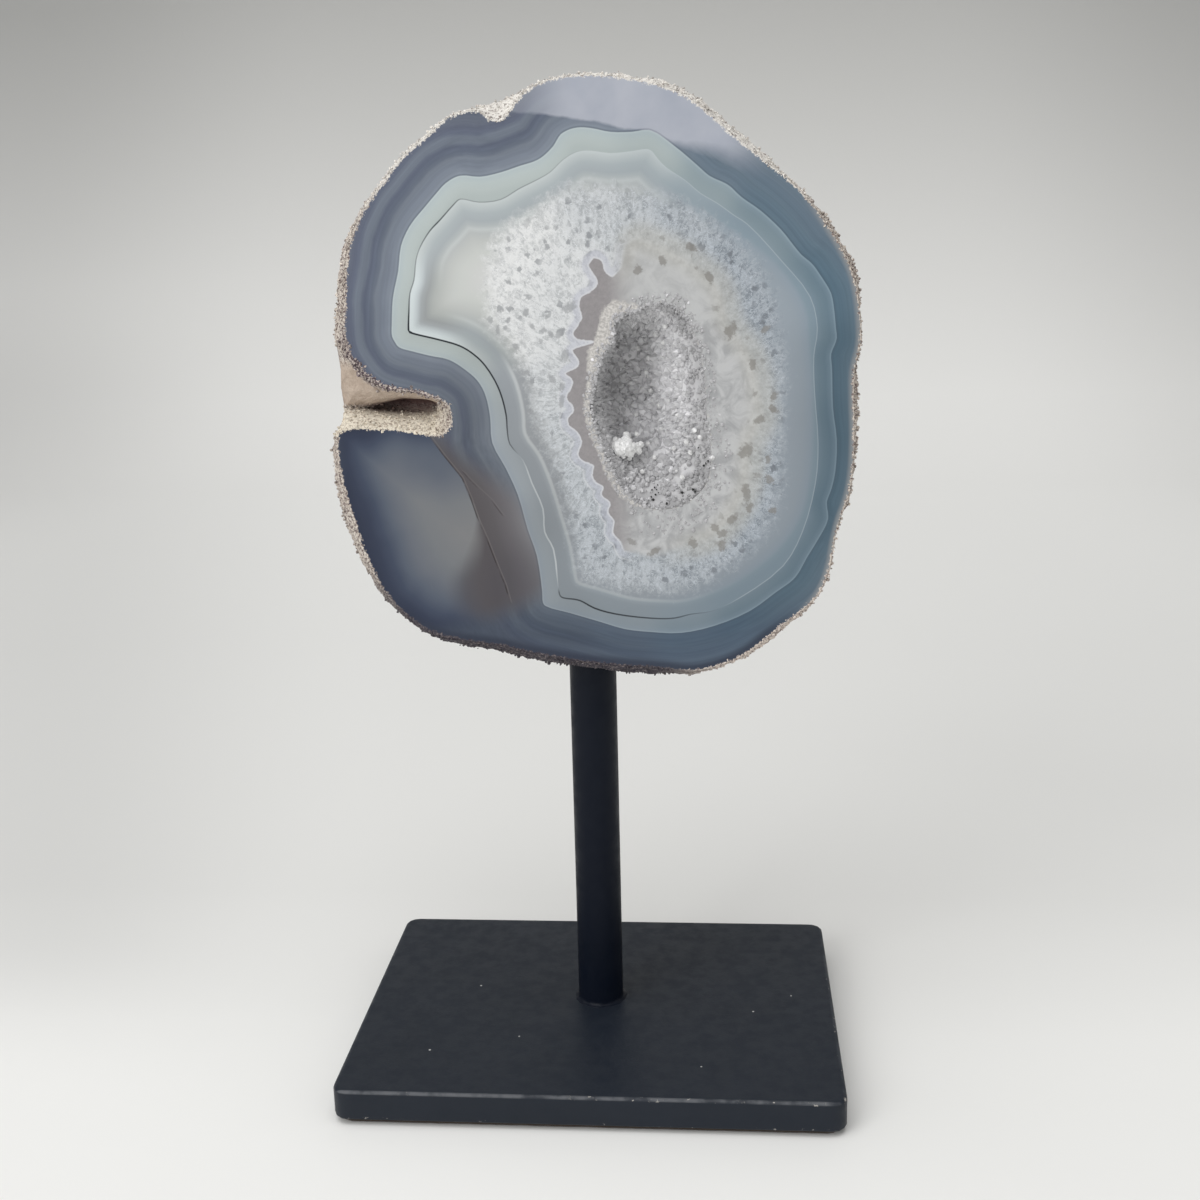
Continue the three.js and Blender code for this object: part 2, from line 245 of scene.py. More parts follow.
def feed(node, values):
    # gives inputs of a node a value or a link
    for key, value in values.items():
        if isinstance(value, bpy.types.NodeSocket):
            drawing["tree"].links.new(value, node.inputs[key])
        else:
            node.inputs[key].default_value = value


def add(kind, values=None, out=0, **settings):
    # adds one node, feeds it and returns one of its outputs, or all of them
    node = drawing["tree"].nodes.new("ShaderNode" + kind)
    for key, value in settings.items():
        setattr(node, key, value)
    feed(node, values or {})
    return node.outputs if out == "all" else node.outputs[out]


def number(name):
    return add("Attribute", out="Fac", attribute_name=name)


def calc(operation, a, b=0.0, clamp=False):
    return add("Math", {0: a, 1: b}, operation=operation, use_clamp=clamp)


def times(first, *others, clamp=False):
    for other in others:
        first = calc("MULTIPLY", first, other, clamp)
    return first


def plus(a, b, clamp=False):
    return calc("ADD", a, b, clamp)


def minus(a, b, clamp=False):
    return calc("SUBTRACT", a, b, clamp)


def absolute(a):
    return calc("ABSOLUTE", a)


def between(value, low, high, toLow=0.0, toHigh=1.0):
    # smooth step from low to high
    return add("MapRange", {"Value": value, "From Min": low, "From Max": high, "To Min": toLow,
                            "To Max": toHigh}, interpolation_type="SMOOTHSTEP")


def mix(share, a, b, mode="MIX"):
    # a colour of three numbers is one read off a screen, one of four is the shader's own
    a, b = (rgb(*c) if isinstance(c, tuple) and len(c) == 3 else c for c in (a, b))
    return add("Mix", {0: share, 6: a, 7: b}, out=2, data_type="RGBA", blend_type=mode)


def tint(colour, by, share=1.0):
    return mix(share, colour, by, "MULTIPLY")


def bands(value, stops):
    # colours along a length in mm: stops are (mm, (red, green, blue))
    low, high = stops[0][0], stops[-1][0]
    scaled = add("MapRange", {"Value": value, "From Min": low, "From Max": high})
    colour = add("ValToRGB", {0: scaled})
    elements = colour.node.color_ramp.elements
    while len(elements) < len(stops):
        elements.new(0.5)
    for element, (at, tone) in zip(elements, stops):
        element.position = (at - low) / (high - low)
    for element, (at, tone) in zip(elements, stops):
        element.color = rgb(*tone)
    return colour


def placeInMm():
    place = add("TexCoord", out="Object")
    return vector("SCALE", place, 1 / mm)


def vector(operation, a, b=None, out=0):
    values = {0: a}
    if b is not None:
        values[3 if operation == "SCALE" else 1] = b
    return add("VectorMath", values, out=out, operation=operation)


def axes(place):
    return add("SeparateXYZ", {0: place}, out="all")


def noise(where, size, detail=3.0, rough=0.55, distort=0.0, out=0):
    return add("TexNoise", {"Vector": where, "Scale": 1 / size, "Detail": detail,
                            "Roughness": rough, "Distortion": distort}, out=out)


def wobble(where, size, detail, height, rough=0.55):
    # noise around zero
    return times(minus(noise(where, size, detail, rough), 0.5), height)


def patches(where, size, detail, low, high, *ends, rough=0.55):
    # noise as spots with soft borders
    return between(noise(where, size, detail, rough), low, high, *ends)


def cells(where, size, **settings):
    # flat cells of about this size: distance from a cell's middle, and its random colour
    return add("TexVoronoi", {"Vector": where, "Scale": 1 / size}, out="all",
               voronoi_dimensions="2D", **settings)[:2]


def setMaterial(made, *materials):
    made.data.materials.clear()
    for material in materials:
        made.data.materials.append(material)


# ---- stone: one closed skin from the back over the rind, across the polished face into the hollow
stone = {
    "faceY": -13.0,
    "rindFront": -12.97,  # no place of the rind lies further in front
    "centre": (2.0, 143.0),
    "backY": 27.3,
    "roundHalf": (51.0, 58.0),
    "slitDent": 0.8,
    "around": 560,  # points around the outline
    "rowsToBand": 44,  # rows from the edge to the pale band
    "rowsToMouth": 58,
    "lumpHeight": 0.8,
    "crumbHeight": 0.5,
    "widen": 0.8,  # the polished face reaches this far over the rind
}
# edge of the face, clockwise from above the slot: x, how far the rind stands out there, z
edgeStations = [
    (-43.4, 4.3, 151), (-44, 3.8, 155), (-43.5, 3.3, 161), (-42.6, 3.3, 167.8),
    (-41.2, 2.6, 172.2), (-38.8, 2.2, 176.6), (-34.9, 1.6, 181.6), (-31.1, 1.3, 186),
    (-26.5, 1.7, 189.2), (-21.8, 1.4, 192.6), (-17.6, 1.6, 193.3), (-15.9, 2.9, 192.3),
    (-14.3, 4.3, 191.3), (-12.3, 4.7, 191.5), (-11, 4, 192.8), (-9.4, 3, 194.7),
    (-7.6, 2, 196.4), (-4.7, 1.7, 197.8), (0, 1.4, 198.8),
    (5.3, 1.7, 198.6), (10, 1.8, 197.9), (14.7, 2.2, 196.7), (20, 1.9, 194.8),
    (24.3, 2.1, 191.5), (29, 2.1, 187.4), (34.3, 1.5, 183.4), (39.2, 0.9, 179.8),
    (43.2, 1.3, 175.5), (47.8, 1.5, 168.8), (50.6, 1.6, 163), (52, 1.3, 156.7),
    (52.3, 1.2, 150.3), (51.3, 1.2, 145.8), (51, 2, 140.2), (51.5, 1.2, 134.5),
    (51.3, 1.3, 127), (50.4, 1.6, 121.9), (49, 1.4, 117.5), (48.2, 1.1, 113.3),
    (47.2, 1.6, 108.3), (45.2, 1.6, 103.2), (42, 2.3, 100.2), (38, 2.7, 97),
    (31.5, 2.7, 91.7), (26.5, 2.6, 89.2), (21.2, 2.9, 88), (14.7, 3.6, 88.6),
    (7, 3.6, 89.2), (-1, 3.4, 90.1), (-9.1, 3.6, 91.5), (-17.3, 3.6, 93.4),
    (-23.5, 3.3, 94.2), (-30.7, 2.8, 95.9), (-35.9, 2.7, 99.8), (-39.7, 2.8, 104.6),
    (-42.9, 3.4, 112.1), (-44.5, 3.6, 118.1), (-46.3, 3.3, 126), (-46.9, 2.6, 132),
    (-46.5, 2.2, 135.4),
]
# the slot, lower lip to end to upper wall: x and z on the face, x and z where it closes to a slit
slotStations = [
    (-44.5, 136.4, -47.4, 139.8), (-41, 136.3, -44, 139.6), (-35.6, 136, -38, 138.7),
    (-30.5, 135.2, -33, 138.5), (-27, 134.8, -30.5, 138.6), (-24.9, 137, -28.8, 139.6),
    (-25.2, 140, -29, 140.5), (-27.2, 141.5, -31.5, 141), (-32, 143, -36.5, 141),
    (-37.5, 144, -42.5, 139.5), (-40.5, 145.8, -47.4, 139.3), (-42.6, 148.4, -47.8, 143.2),
]
# sections from the face to the back: y, bulge of the rind, size, slit, closed, round, rough
stoneSections = np.array([
    (-13, 0, 1, 0, 0, 0, 0), (-12.4, 0.35, 1, 0.12, 0, 0, 0.2), (-10.4, 0.8, 1, 0.6, 0, 0, 0.4),
    (-7, 1, 1, 1, 0, 0, 0.4), (-2, 1, 0.992, 1, 0.85, 0.15, 0.8), (4, 1, 0.965, 1, 1, 0.4, 1),
    (11, 1, 0.89, 1, 1, 0.7, 1.2), (17.5, 1, 0.75, 1, 1, 0.9, 1.3),
    (22.5, 1, 0.545, 1, 1, 1, 1.3), (25.8, 1, 0.29, 1, 1, 1, 1), (27.2, 1, 0.06, 1, 1, 1, 1),
])
mouthStations = [
    (3.6, 133.3), (2.6, 136.5), (2, 140), (3, 144.5), (4.3, 148.8), (6.5, 152),
    (7.4, 156), (11, 157.6), (15.5, 158.8), (19.5, 157.5), (22.3, 152), (23.8, 145),
    (24.2, 138), (25, 131), (24, 124.5), (19.5, 120.5), (13.5, 119.8), (8.8, 122.5),
    (5.6, 128),
]
mouthCentre = np.array([13.0, 139.0])
# the hollow inward from its mouth: y, centre x and z, size of the mouth's outline
hollowSections = np.array([(-13, 13, 139, 1), (-9.6, 11.1, 140.8, 0.86), (-5, 9.3, 142.6, 0.68),
                           (-0.5, 8.6, 143.6, 0.5), (2.8, 8.5, 144, 0.28), (4.0, 8.5, 144, 0.04)])
hollowFloor = (8.5, 4.2, 144.0)

# lines of the banding on the face, x and z
paleBand = [  # outer border of the pale band
    (-35.3, 155.9), (-35.4, 153.6), (-34.9, 152.5), (-34.2, 151.5), (-31.7, 150.7),
    (-28.3, 149.8), (-24.5, 148.9), (-21.7, 147.1), (-19.4, 145), (-18, 142.4), (-17.2, 138),
    (-17, 133), (-14.5, 127.9), (-12.4, 122.8), (-10.7, 115.9), (-9.1, 110.7),
    (-8.3, 103.4), (-8.25, 101.4), (-7.8, 100.6), (-2.9, 99.1), (3, 97.3), (7.9, 95.8),
    (13, 95.2), (18.9, 95), (25.4, 96.4), (32.4, 99.4), (37.5, 103.2), (41.1, 106),
    (43.4, 110.1), (45.4, 113.5), (47.3, 117.5), (47, 120.8), (47.8, 123.2), (48.5, 126.6),
    (48.7, 132.7), (47.9, 138.7), (47.6, 146.2), (47.4, 148.8), (48.4, 151.5), (48.2, 153.5),
    (47.8, 157), (47.2, 159.9), (45.3, 163), (43.7, 165.2), (41.8, 166.8), (40.5, 168.3),
    (38, 171.4), (34.1, 175), (30.7, 177.4), (28.3, 179.6), (25, 181.2), (22.7, 183.2),
    (18.4, 186.8), (14.2, 189.5), (11, 189.3), (7, 189.4), (3.3, 190.2), (0.6, 190.3),
    (-2, 189.3), (-3.5, 187.2), (-6.2, 185), (-9.9, 183.9), (-13.3, 182.9), (-17.2, 182.2),
    (-21, 182.5), (-23.6, 181.3), (-25.8, 179.2), (-27.8, 177.1), (-30.8, 173.8),
    (-32.7, 170.2), (-33.5, 165.6), (-34.8, 160.7),
]
edgeToBand = [  # places on the face's edge and on the pale band that belong together
    ((-43.4, 151), (-34.9, 152.5)), ((-43.5, 161), (-34.8, 160.7)),
    ((-41.2, 172.2), (-32.7, 170.2)), ((-31.1, 186), (-25.8, 179.2)),
    ((-17, 192.2), (-15, 182.6)), ((-8.6, 195.8), (-6.2, 185)), ((0, 198.8), (0.6, 190.3)),
    ((14.7, 196.7), (14.2, 189.5)), ((29, 187.4), (25, 181.2)), ((43.2, 175.5), (38, 171.4)),
    ((52, 156.7), (47.8, 157)), ((51, 140.2), (47.9, 138.7)), ((51.3, 127), (48.5, 126.6)),
    ((48.2, 113.3), (45.4, 113.5)), ((42, 100.2), (37.5, 103.2)), ((31.5, 91.7), (28.9, 97.9)),
    ((14.7, 88.6), (13, 95.2)), ((-1, 90.1), (-2.9, 99.1)), ((-9.1, 91.5), (-7, 100.3)),
    ((-17.3, 93.4), (-8.25, 102)), ((-30.7, 95.9), (-8.8, 107)), ((-39.7, 104.6), (-10, 113.5)),
    ((-44.5, 118.1), (-12, 121.5)), ((-46.9, 132), (-13.8, 126.4)),
    ((-44.5, 136.4), (-14.8, 128.5)), ((-35.6, 136), (-15.7, 130.6)),
    ((-27, 134.8), (-16.8, 133.2)), ((-24.9, 137), (-17.15, 137)), ((-25.2, 140), (-17.5, 140)),
    ((-27.2, 141.5), (-18.4, 143.2)), ((-32, 143), (-22.5, 147.7)),
    ((-37.5, 144), (-28.3, 149.8)), ((-42.6, 148.4), (-34.2, 151.5)),
]
bandToMouth = [
    ((-35.3, 155.9), (4.3, 148.8)), ((-28.3, 149.8), (2.7, 143.2)), ((-21.7, 147.1), (2.1, 141.5)),
    ((-17.2, 138), (2.3, 138)), ((-14.5, 127.9), (3.2, 134.5)), ((-10.7, 115.9), (4.6, 130.5)),
    ((-8.2, 100.8), (8, 123.6)), ((7.9, 95.8), (13, 119.8)), ((25.4, 96.4), (19.5, 120.5)),
    ((41.1, 106), (23.4, 123.5)), ((48.5, 126.6), (24.8, 133)), ((47.9, 138.7), (24.2, 138)),
    ((47.8, 157), (23.2, 148)), ((38, 171.4), (20.8, 155.5)), ((25, 181.2), (17, 158.6)),
    ((14.2, 189.5), (12.5, 158)), ((0.6, 190.3), (8.8, 156.9)), ((-13.3, 182.9), (7.2, 155)),
    ((-25.8, 179.2), (6.2, 151.6)), ((-34.8, 160.7), (4.9, 149.8)),
]


def outlineRows():
    # the face's edge with its rind and slit places, all sampled at the same even steps
    perStation = 16
    edge3 = loopThrough(np.vstack([
        np.array(edgeStations)[:, [0, 2, 1]],
        np.array([(x, z, 0) for x, z, _, _ in slotStations])]), perStation)
    steps = np.arange(stone["around"]) / stone["around"]
    run = runAlong(edge3[:, :2])[1]
    at = steps * run[-1]
    index = np.interp(at, run, np.arange(len(edge3) + 1)) / perStation  # station along the edge
    edge = np.stack([np.interp(at, run, np.append(edge3[:, k], edge3[0, k]))
                     for k in range(3)], -1)
    rind = np.clip(edge[:, 2], 0, None)
    widen = np.minimum(stone["widen"], rind * 0.36)
    out = edge[:, :2] - stone["centre"]
    out /= np.linalg.norm(out, axis=1)[:, None]
    return edge[:, :2] + out * widen[:, None], rind - widen, index


def rindRings(edge, rind, index):
    # every ring is the edge, pushed out by the rind's bulge, its slot narrowed to a slit and
    # closed, then blended into an ellipse and made smaller towards the back, with lumps on it
    centre = np.array(stone["centre"])
    out = edge - centre
    out /= np.linalg.norm(out, axis=1)[:, None]
    mains = len(edgeStations)
    slots = len(slotStations)
    inSlot = stepUp(index, mains - 1, mains)
    inSlot *= 1 - stepUp(index, mains + slots - 0.4, mains + slots)
    slit = np.array([s[2:] for s in slotStations])
    place = np.clip(index - mains, 0, slots - 1)
    slitPoint = np.stack([np.interp(place, np.arange(slots), slit[:, k]) for k in (0, 1)], -1)
    lip = np.argmin(np.abs(index - mains + 1))
    lipLow = edge[lip] + out[lip] * rind[lip]
    lipHigh = edge[0] + out[0] * rind[0]
    share = np.clip((index - mains + 1) / (slots + 1), 0, 1)[:, None]
    closedPoint = lipLow + (lipHigh - lipLow) * share
    closedPoint[:, 0] += stone["slitDent"] * np.sin(share[:, 0] * np.pi)
    # the rings' depths, closest together near the face
    depth = np.concatenate([np.linspace(-13, -12, 6)[1:], np.linspace(-12, -5, 17)[1:],
                            np.linspace(-5, 19, 17)[1:], [20.5, 22, 23.4, 24.6, 25.7, 26.6, 27.1]])
    bulge, size, slitShare, closed, roundShare, rough = (
        np.interp(depth, stoneSections[:, 0], stoneSections[:, n])[:, None] for n in range(1, 7))
    main = edge[None] + out[None] * (rind[None, :, None] * bulge[..., None])
    slotted = edge[None] + (slitPoint - edge)[None] * slitShare[..., None]
    slotted = slotted + (closedPoint[None] - slotted) * closed[..., None]
    flat = main + (slotted - main) * inSlot[None, :, None]
    ray = flat - centre
    reach = np.linalg.norm(ray, axis=2)
    ray /= reach[..., None]
    halfWidth, halfHeight = stone["roundHalf"]
    roundReach = 1 / np.hypot(ray[..., 0] / halfWidth, ray[..., 1] / halfHeight)
    reach = (reach + (roundReach - reach) * roundShare) * size
    points = np.stack([centre[0] + ray[..., 0] * reach,
                       np.repeat(depth[:, None], edge.shape[0], 1),
                       centre[1] + ray[..., 1] * reach], -1)
    relief = (lumps(points, 9.0, 3) - 0.5) * 2.2 * stone["lumpHeight"]
    relief += (lumps(points, 3.4, 5) - 0.5) * 1.5 * stone["lumpHeight"]
    relief *= rough
    near = stepUp(depth, -13, -11.6)[:, None]
    crumb = (lumps(points, 1.5, 7) - 0.5) * 1.2 + (lumps(points, 0.6, 9) - 0.5) * 1.4
    upperWall = inSlot * stepUp(index, mains + 5.6, mains + 6.6)
    crumb *= 1 - 0.8 * upperWall[None]  # the slot's upper wall is smooth
    relief += crumb * stone["crumbHeight"] * near * np.minimum(size * 1.3, 1)
    points[..., 0] += ray[..., 0] * (relief - 0.3)
    points[..., 2] += ray[..., 1] * (relief - 0.3)
    points[..., 1] += (lumps(points, 1.1, 13) - 0.5) * 0.7 * near
    points[..., 1] = np.maximum(points[..., 1], stone["rindFront"])
    return points[::-1]  # back to front


def faceRings(edge):
    # straight rows from the edge to the pale band, and from there to the mouth of the hollow
    band = loopThrough(paleBand[::-1], 8)
    mouth = loopThrough(mouthStations, 8)
    shares = np.arange(stone["around"]) / stone["around"]
    bandShare = matchLoops(edgeToBand, edge, band, shares)
    onBand = alongLoop(band, bandShare)
    onMouth = alongLoop(mouth, matchLoops(bandToMouth, band, mouth, np.mod(bandShare, 1)))
    first = np.linspace(0, 1, stone["rowsToBand"] + 1)[:-1, None, None]
    second = np.linspace(0, 1, stone["rowsToMouth"] + 1)[:, None, None]
    flat = np.concatenate([edge + (onBand - edge) * first, onBand + (onMouth - onBand) * second])
    full = np.full(flat.shape[:2], stone["faceY"])
    return np.stack([flat[..., 0], full, flat[..., 1]], -1), onMouth


def hollowRings(onMouth):
    # the mouth's outline made smaller and moved inward through the hollow's sections
    depth = np.concatenate([np.linspace(-12.6, -5, 8), np.linspace(-3.5, 2.8, 5), [3.6, 4.0]])
    x, z, size = (np.interp(depth, hollowSections[:, 0], hollowSections[:, n])[:, None]
                  for n in (1, 2, 3))
    out = onMouth - mouthCentre
    return np.stack([x + out[:, 0] * size, np.repeat(depth[:, None], len(out), 1),
                     z + out[:, 1] * size], -1)


def makeStone():
    # rings of the rind, the face and the hollow, one after another, as one closed skin
    edge, rind, index = outlineRows()
    rear = rindRings(edge, rind, index)
    face, onMouth = faceRings(edge)
    inner = hollowRings(onMouth)
    rings = np.concatenate([rear, face, inner])
    points, faces = closedSkin(rings, (stone["centre"][0], stone["backY"], stone["centre"][1]),
                               hollowFloor)
    made = makeObject("agate_geode", points, faces, smooth=False)
    return made, points, edge, len(rear), len(face)


stoneObject, stonePoints, faceEdge, rearRows, faceRows = makeStone()
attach(stoneObject, "root")
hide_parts("agate_stone")
print("stone skin made:", len(stonePoints), "points")


# ---- banding of the polished face: distances in mm from its lines, kept as numbers per vertex
darkLine = [  # thin dark line inside the pale band
    (-32.15, 154.9), (-32.1, 154.35), (-31.6, 154.1), (-30.2, 153.7), (-26.2, 152.7),
    (-22.4, 151.5), (-20, 150), (-17.8, 147.8), (-15.3, 143.3), (-14.1, 138.3), (-14, 135.4),
    (-13.6, 132.7), (-11.2, 129.6), (-9.6, 125.1), (-7.6, 120), (-7.4, 115.4), (-5.8, 112),
    (-5.1, 104.4), (-4.75, 102.6), (-4.2, 102.2), (-1, 101.7), (1.9, 100.1), (6, 98.9),
    (13.1, 98), (17.6, 98), (20.9, 98.8), (25, 99.4), (30.5, 102.1), (38.8, 108.4),
    (42.4, 115), (44.8, 124.5), (45.2, 132), (44.4, 142), (44.2, 148.5), (44.8, 153.5),
    (43.4, 159.3), (38, 166), (31.8, 172.6), (29.4, 174.2), (26.5, 176.3), (23.2, 178.3),
    (20.5, 180.6), (17.2, 182.8), (15.6, 184.4), (14.4, 185.9), (13.6, 186.2), (10.7, 185.9),
    (6.9, 185.7), (2.9, 186.3), (0.7, 186.1), (-1.8, 184.8), (-4.2, 182.7), (-6.7, 181.4),
    (-10.1, 179.9), (-13.5, 178.1), (-17.6, 177.7), (-20.4, 178.3), (-21.3, 178.3),
    (-22.5, 177.3), (-25.1, 174.7), (-27.1, 172.8), (-29.1, 169.9), (-30, 167.6),
    (-30.6, 163.9), (-31.5, 161.5), (-31.9, 158),
]
inkStops = [  # share along the dark line, and how dark (1) or light (-1) it is drawn there
    (0, 1), (0.05, 0.9), (0.13, 0.8), (0.17, 0.45), (0.19, -0.7), (0.25, -0.8), (0.265, 0.5),
    (0.32, 0.85), (0.37, 0.55), (0.41, -0.2), (0.5, -0.15), (0.7, -0.1), (0.76, 0.2),
    (0.8, 0.35), (0.85, 0.3), (0.9, 0.7), (0.93, 0.35), (0.97, 0.5), (1, 1),
]
greyBand = [  # inner border of the grey-green band
    (-28.3, 157.3), (-26.4, 155.2), (-21.7, 154.5), (-17.9, 153), (-14.5, 149.5), (-12, 144.5),
    (-10.8, 138.6), (-10.6, 134.6), (-8, 130.5), (-5.9, 125.1), (-4.1, 118.6), (-2.5, 112.4),
    (-1.7, 106.8), (-1.4, 105.6), (-0.9, 105.1), (3.1, 103.9), (9, 102.1), (14.9, 101.5),
    (20, 101.6), (28.7, 104.7), (35, 109), (39.1, 113.1), (42.5, 119), (44, 127), (44.2, 140),
    (43.4, 150), (42.3, 158), (37, 165.5), (29.5, 171.4), (20.8, 177), (14, 181.2), (7, 181.8),
    (0, 181.5), (-3.5, 180), (-5.6, 178), (-8, 175.6), (-11, 174.2), (-15, 174.4),
    (-20, 175.4), (-24, 173.5), (-27, 169), (-28.5, 162),
]
quartzRim = [  # where the granular quartz begins
    (-16.9, 169.1), (-18.1, 161.8), (-17.1, 154.4), (-13.8, 151.5), (-10.8, 144.9),
    (-9.5, 137.3), (-6.3, 129.5), (-4.2, 121.7), (-2.5, 112.8), (-1.1, 105.8), (5.1, 103.7),
    (14.9, 102.5), (22.7, 103.7), (30.5, 108.6), (36.2, 114.5), (38.9, 121.3), (39.2, 132.8),
    (39.5, 140.4), (39, 151.5), (36.9, 160.7), (34.2, 166.1), (27.7, 172.5), (21.4, 177.1),
    (14.1, 179.4), (4.9, 181.1), (-2.5, 180.4), (-8.1, 177), (-13.9, 173.5),
]
cloudRim = [  # cloudy quartz around the hollow; its left side is scalloped, with one spike
    (2.5, 165.9), (3.5, 164.2), (4.1, 162.4), (2.6, 160.9), (0.9, 159.9), (0.5, 158.2),
    (1.1, 156.6), (0.2, 154.8), (-0.7, 153.4), (-0.2, 152.5), (1.6, 152.2), (3.8, 151.9),
    (1.2, 151.1), (-0.9, 150.3), (-0.1, 149), (0.2, 147.6), (-1.1, 146.6), (-2.3, 146),
    (-1.2, 144.9), (-1.1, 143.7), (-1.9, 142.4), (-2.3, 141.2), (-1.3, 140.2), (-1, 138.9),
    (-2.1, 137.6), (-2, 136.3), (-0.5, 134.9), (0.4, 133.2), (-0.1, 131.5), (-0.4, 130.3),
    (0.9, 129.2), (2.6, 128.3), (2.2, 126.6), (2.9, 125.2), (4.4, 124.2), (4, 122.6),
    (5.6, 121.2), (5.1, 119.2), (6.3, 117.6), (6, 115.2), (7.4, 113.6), (8.2, 111.7),
    (10.4, 111.3), (13, 110.5), (17.1, 111.5), (20.5, 112.7), (25.3, 114.2), (28.4, 117.2),
    (31, 121.4), (32.3, 126), (32.6, 132), (34.6, 137), (34, 143),
    (32.5, 149), (28.5, 154.7), (26.5, 161.5), (21.5, 166), (15, 169.5), (11.5, 170.4),
    (9.5, 169.2), (8.9, 167), (8.3, 164.9), (6.8, 163.7), (5.4, 164.6), (4.9, 166.4), (3.6, 167.2),
]
lavenderLine = [(-11.2, 197), (-10.9, 193.4), (-4.8, 193), (-0.3, 192), (3.4, 191.3), (7, 190.6),
                (10.2, 189.8), (14.2, 189.2), (17.8, 187.5), (22, 186.4), (26, 185.4), (30, 184),
                (36, 182)]
pocketRim = [  # the smoky pocket at the lower left
    (-50, 143), (-29, 141), (-26, 135), (-21.5, 131), (-16, 127.5), (-11, 123.5), (-4, 112),
    (-5.5, 103.5), (-8.3, 101), (-13, 98.5), (-20, 96.2), (-30, 93), (-40, 95), (-50, 112),
]
mauveLine = [(-31, 137.5), (-29.1, 134.3), (-26.7, 130.8), (-23.2, 126.2), (-22.3, 123.5),
             (-21.1, 120.9), (-20.4, 117.9), (-20.6, 113.9), (-21.8, 109.9), (-22.8, 105.9),
             (-22.4, 102.8), (-21, 100), (-19, 95)]
crackLine = [(-29.1, 134.3), (-26.7, 130.8), (-23.2, 126.2), (-21.6, 121.9), (-20.4, 117.9),
             (-18.8, 113.9), (-17.1, 108.9), (-15.6, 104.8), (-14.6, 100.6)]
branchLine = [(-23, 127.4), (-21.7, 125.8), (-19.4, 123.4), (-17.7, 121.8), (-15, 118)]
# grey flecks in the granular quartz: x, z, length, width, turn in degrees
flecks = np.array([
    (-1.2, 158.3, 2.4, 1.5, 20), (-9.7, 157.5, 1.6, 1, 70), (-5.6, 156.9, 1.5, 0.9, 30),
    (-15, 154.4, 1.6, 0.8, 80), (-13.6, 154.7, 1.2, 0.8, 10), (-8.5, 155, 1.4, 0.8, 130),
    (-6.4, 154.2, 1.5, 0.9, 60), (-3.3, 153.5, 2, 1, 45), (-5, 153.2, 1.2, 0.8, 120),
    (-11.7, 151, 1.6, 0.9, 100), (-2.5, 149.3, 2.2, 1.3, 70), (-9.9, 146.3, 1.5, 0.9, 40),
    (-5.1, 145.3, 1.8, 1, 120), (-3.3, 143.3, 1.6, 0.9, 60), (-3.3, 140.8, 2.4, 0.8, 75),
    (-9.4, 138.9, 1.4, 0.8, 30), (31.6, 130.9, 2.5, 2, 40), (34.3, 136.9, 2, 1.3, 30),
    (36.8, 138.7, 1.8, 1.1, 150), (37, 141.2, 1.6, 1, 60), (35.9, 129.3, 1.5, 1, 80),
    (36.1, 125.4, 1.8, 1.1, 120), (31.7, 122.7, 3.2, 1.3, 100), (32.3, 119.8, 1.8, 1.1, 60),
    (29, 117.6, 2, 1.3, 40), (36.8, 119.3, 1.5, 1, 10), (25.7, 115.9, 1.6, 1.1, 140),
    (27.1, 114.8, 1.8, 1.2, 30), (27, 112.6, 2, 1.2, 80), (21.4, 112.9, 2, 1.4, 120),
    (28.8, 153.5, 2.6, 1.7, 60), (35.1, 153.4, 1.8, 1.1, 40), (32.9, 147, 2.2, 1.2, 100),
    (11.6, 164.8, 2, 1.2, 60), (16.2, 166.4, 1.7, 1.1, 100), (21.5, 168.8, 1.9, 1.1, 140),
    (24.8, 163.2, 2.2, 1.1, 120), (13.9, 111.4, 2.1, 1.1, 30), (9.4, 113.4, 1.8, 1, 150),
])
# how teal (the right side is) and how light the bands are around the face: x, z, teal, light
tintStations = [
    (-42, 165, 0, 1), (-30, 185, 0, 1), (-10, 187, 0, 0.97), (3, 188, 0.08, 0.97),
    (14, 187, 0.2, 0.97), (25, 180, 0.62, 1.04), (34, 174, 0.82, 1.07), (46, 160, 0.95, 1.1),
    (49, 148, 0.97, 0.92), (49, 135, 1, 0.85), (48, 122, 1, 0.87), (43, 108, 0.95, 0.9),
    (32, 98, 0.9, 0.88), (19, 94, 0.75, 0.86), (8, 95, 0.5, 0.72), (-3, 98, 0.35, 0.62),
    (-9, 104, 0.2, 0.62), (-11, 116, 0.1, 0.55), (-14.5, 128, 0.05, 0.63),
    (-17, 138, 0, 0.66), (-20, 146, 0, 0.75), (-29, 150, 0, 0.86), (-40, 152, 0, 0.93),
    (-20, 163, 0, 1), (25, 140, 0.85, 0.95), (5, 170, 0.15, 1), (5, 108, 0.5, 0.8),
]

snowStations = [  # how white the granular quartz is: x, z, share
    (-14, 163, 1), (-12, 152, 0.95), (-7, 144, 0.7), (-5, 134, 0.55), (-3, 125, 0.45),
    (2, 112, 0.36), (10, 108, 0.36), (22, 108, 0.28), (33, 113, 0.16), (37, 125, 0.2),
    (38, 140, 0.26), (36, 155, 0.2), (30, 167, 0.2), (18, 175, 0.3), (3, 176, 0.62),
    (-8, 172, 1), (0, 165, 0.85), (-3, 155, 0.85), (28, 112, 0.25), (12, 172, 0.5),
]


def fieldFrom(stations, p):
    # a smooth field through a few places: their values weighted by 1 / distance to the third power
    s = np.array(stations, float)
    gap2 = ((p[:, None, :] - s[None, :, :2]) ** 2).sum(2)
    weight = 1 / (gap2 + 6) ** 1.5
    return (weight[..., None] * s[None, :, 2:]).sum(1) / weight.sum(1)[:, None]


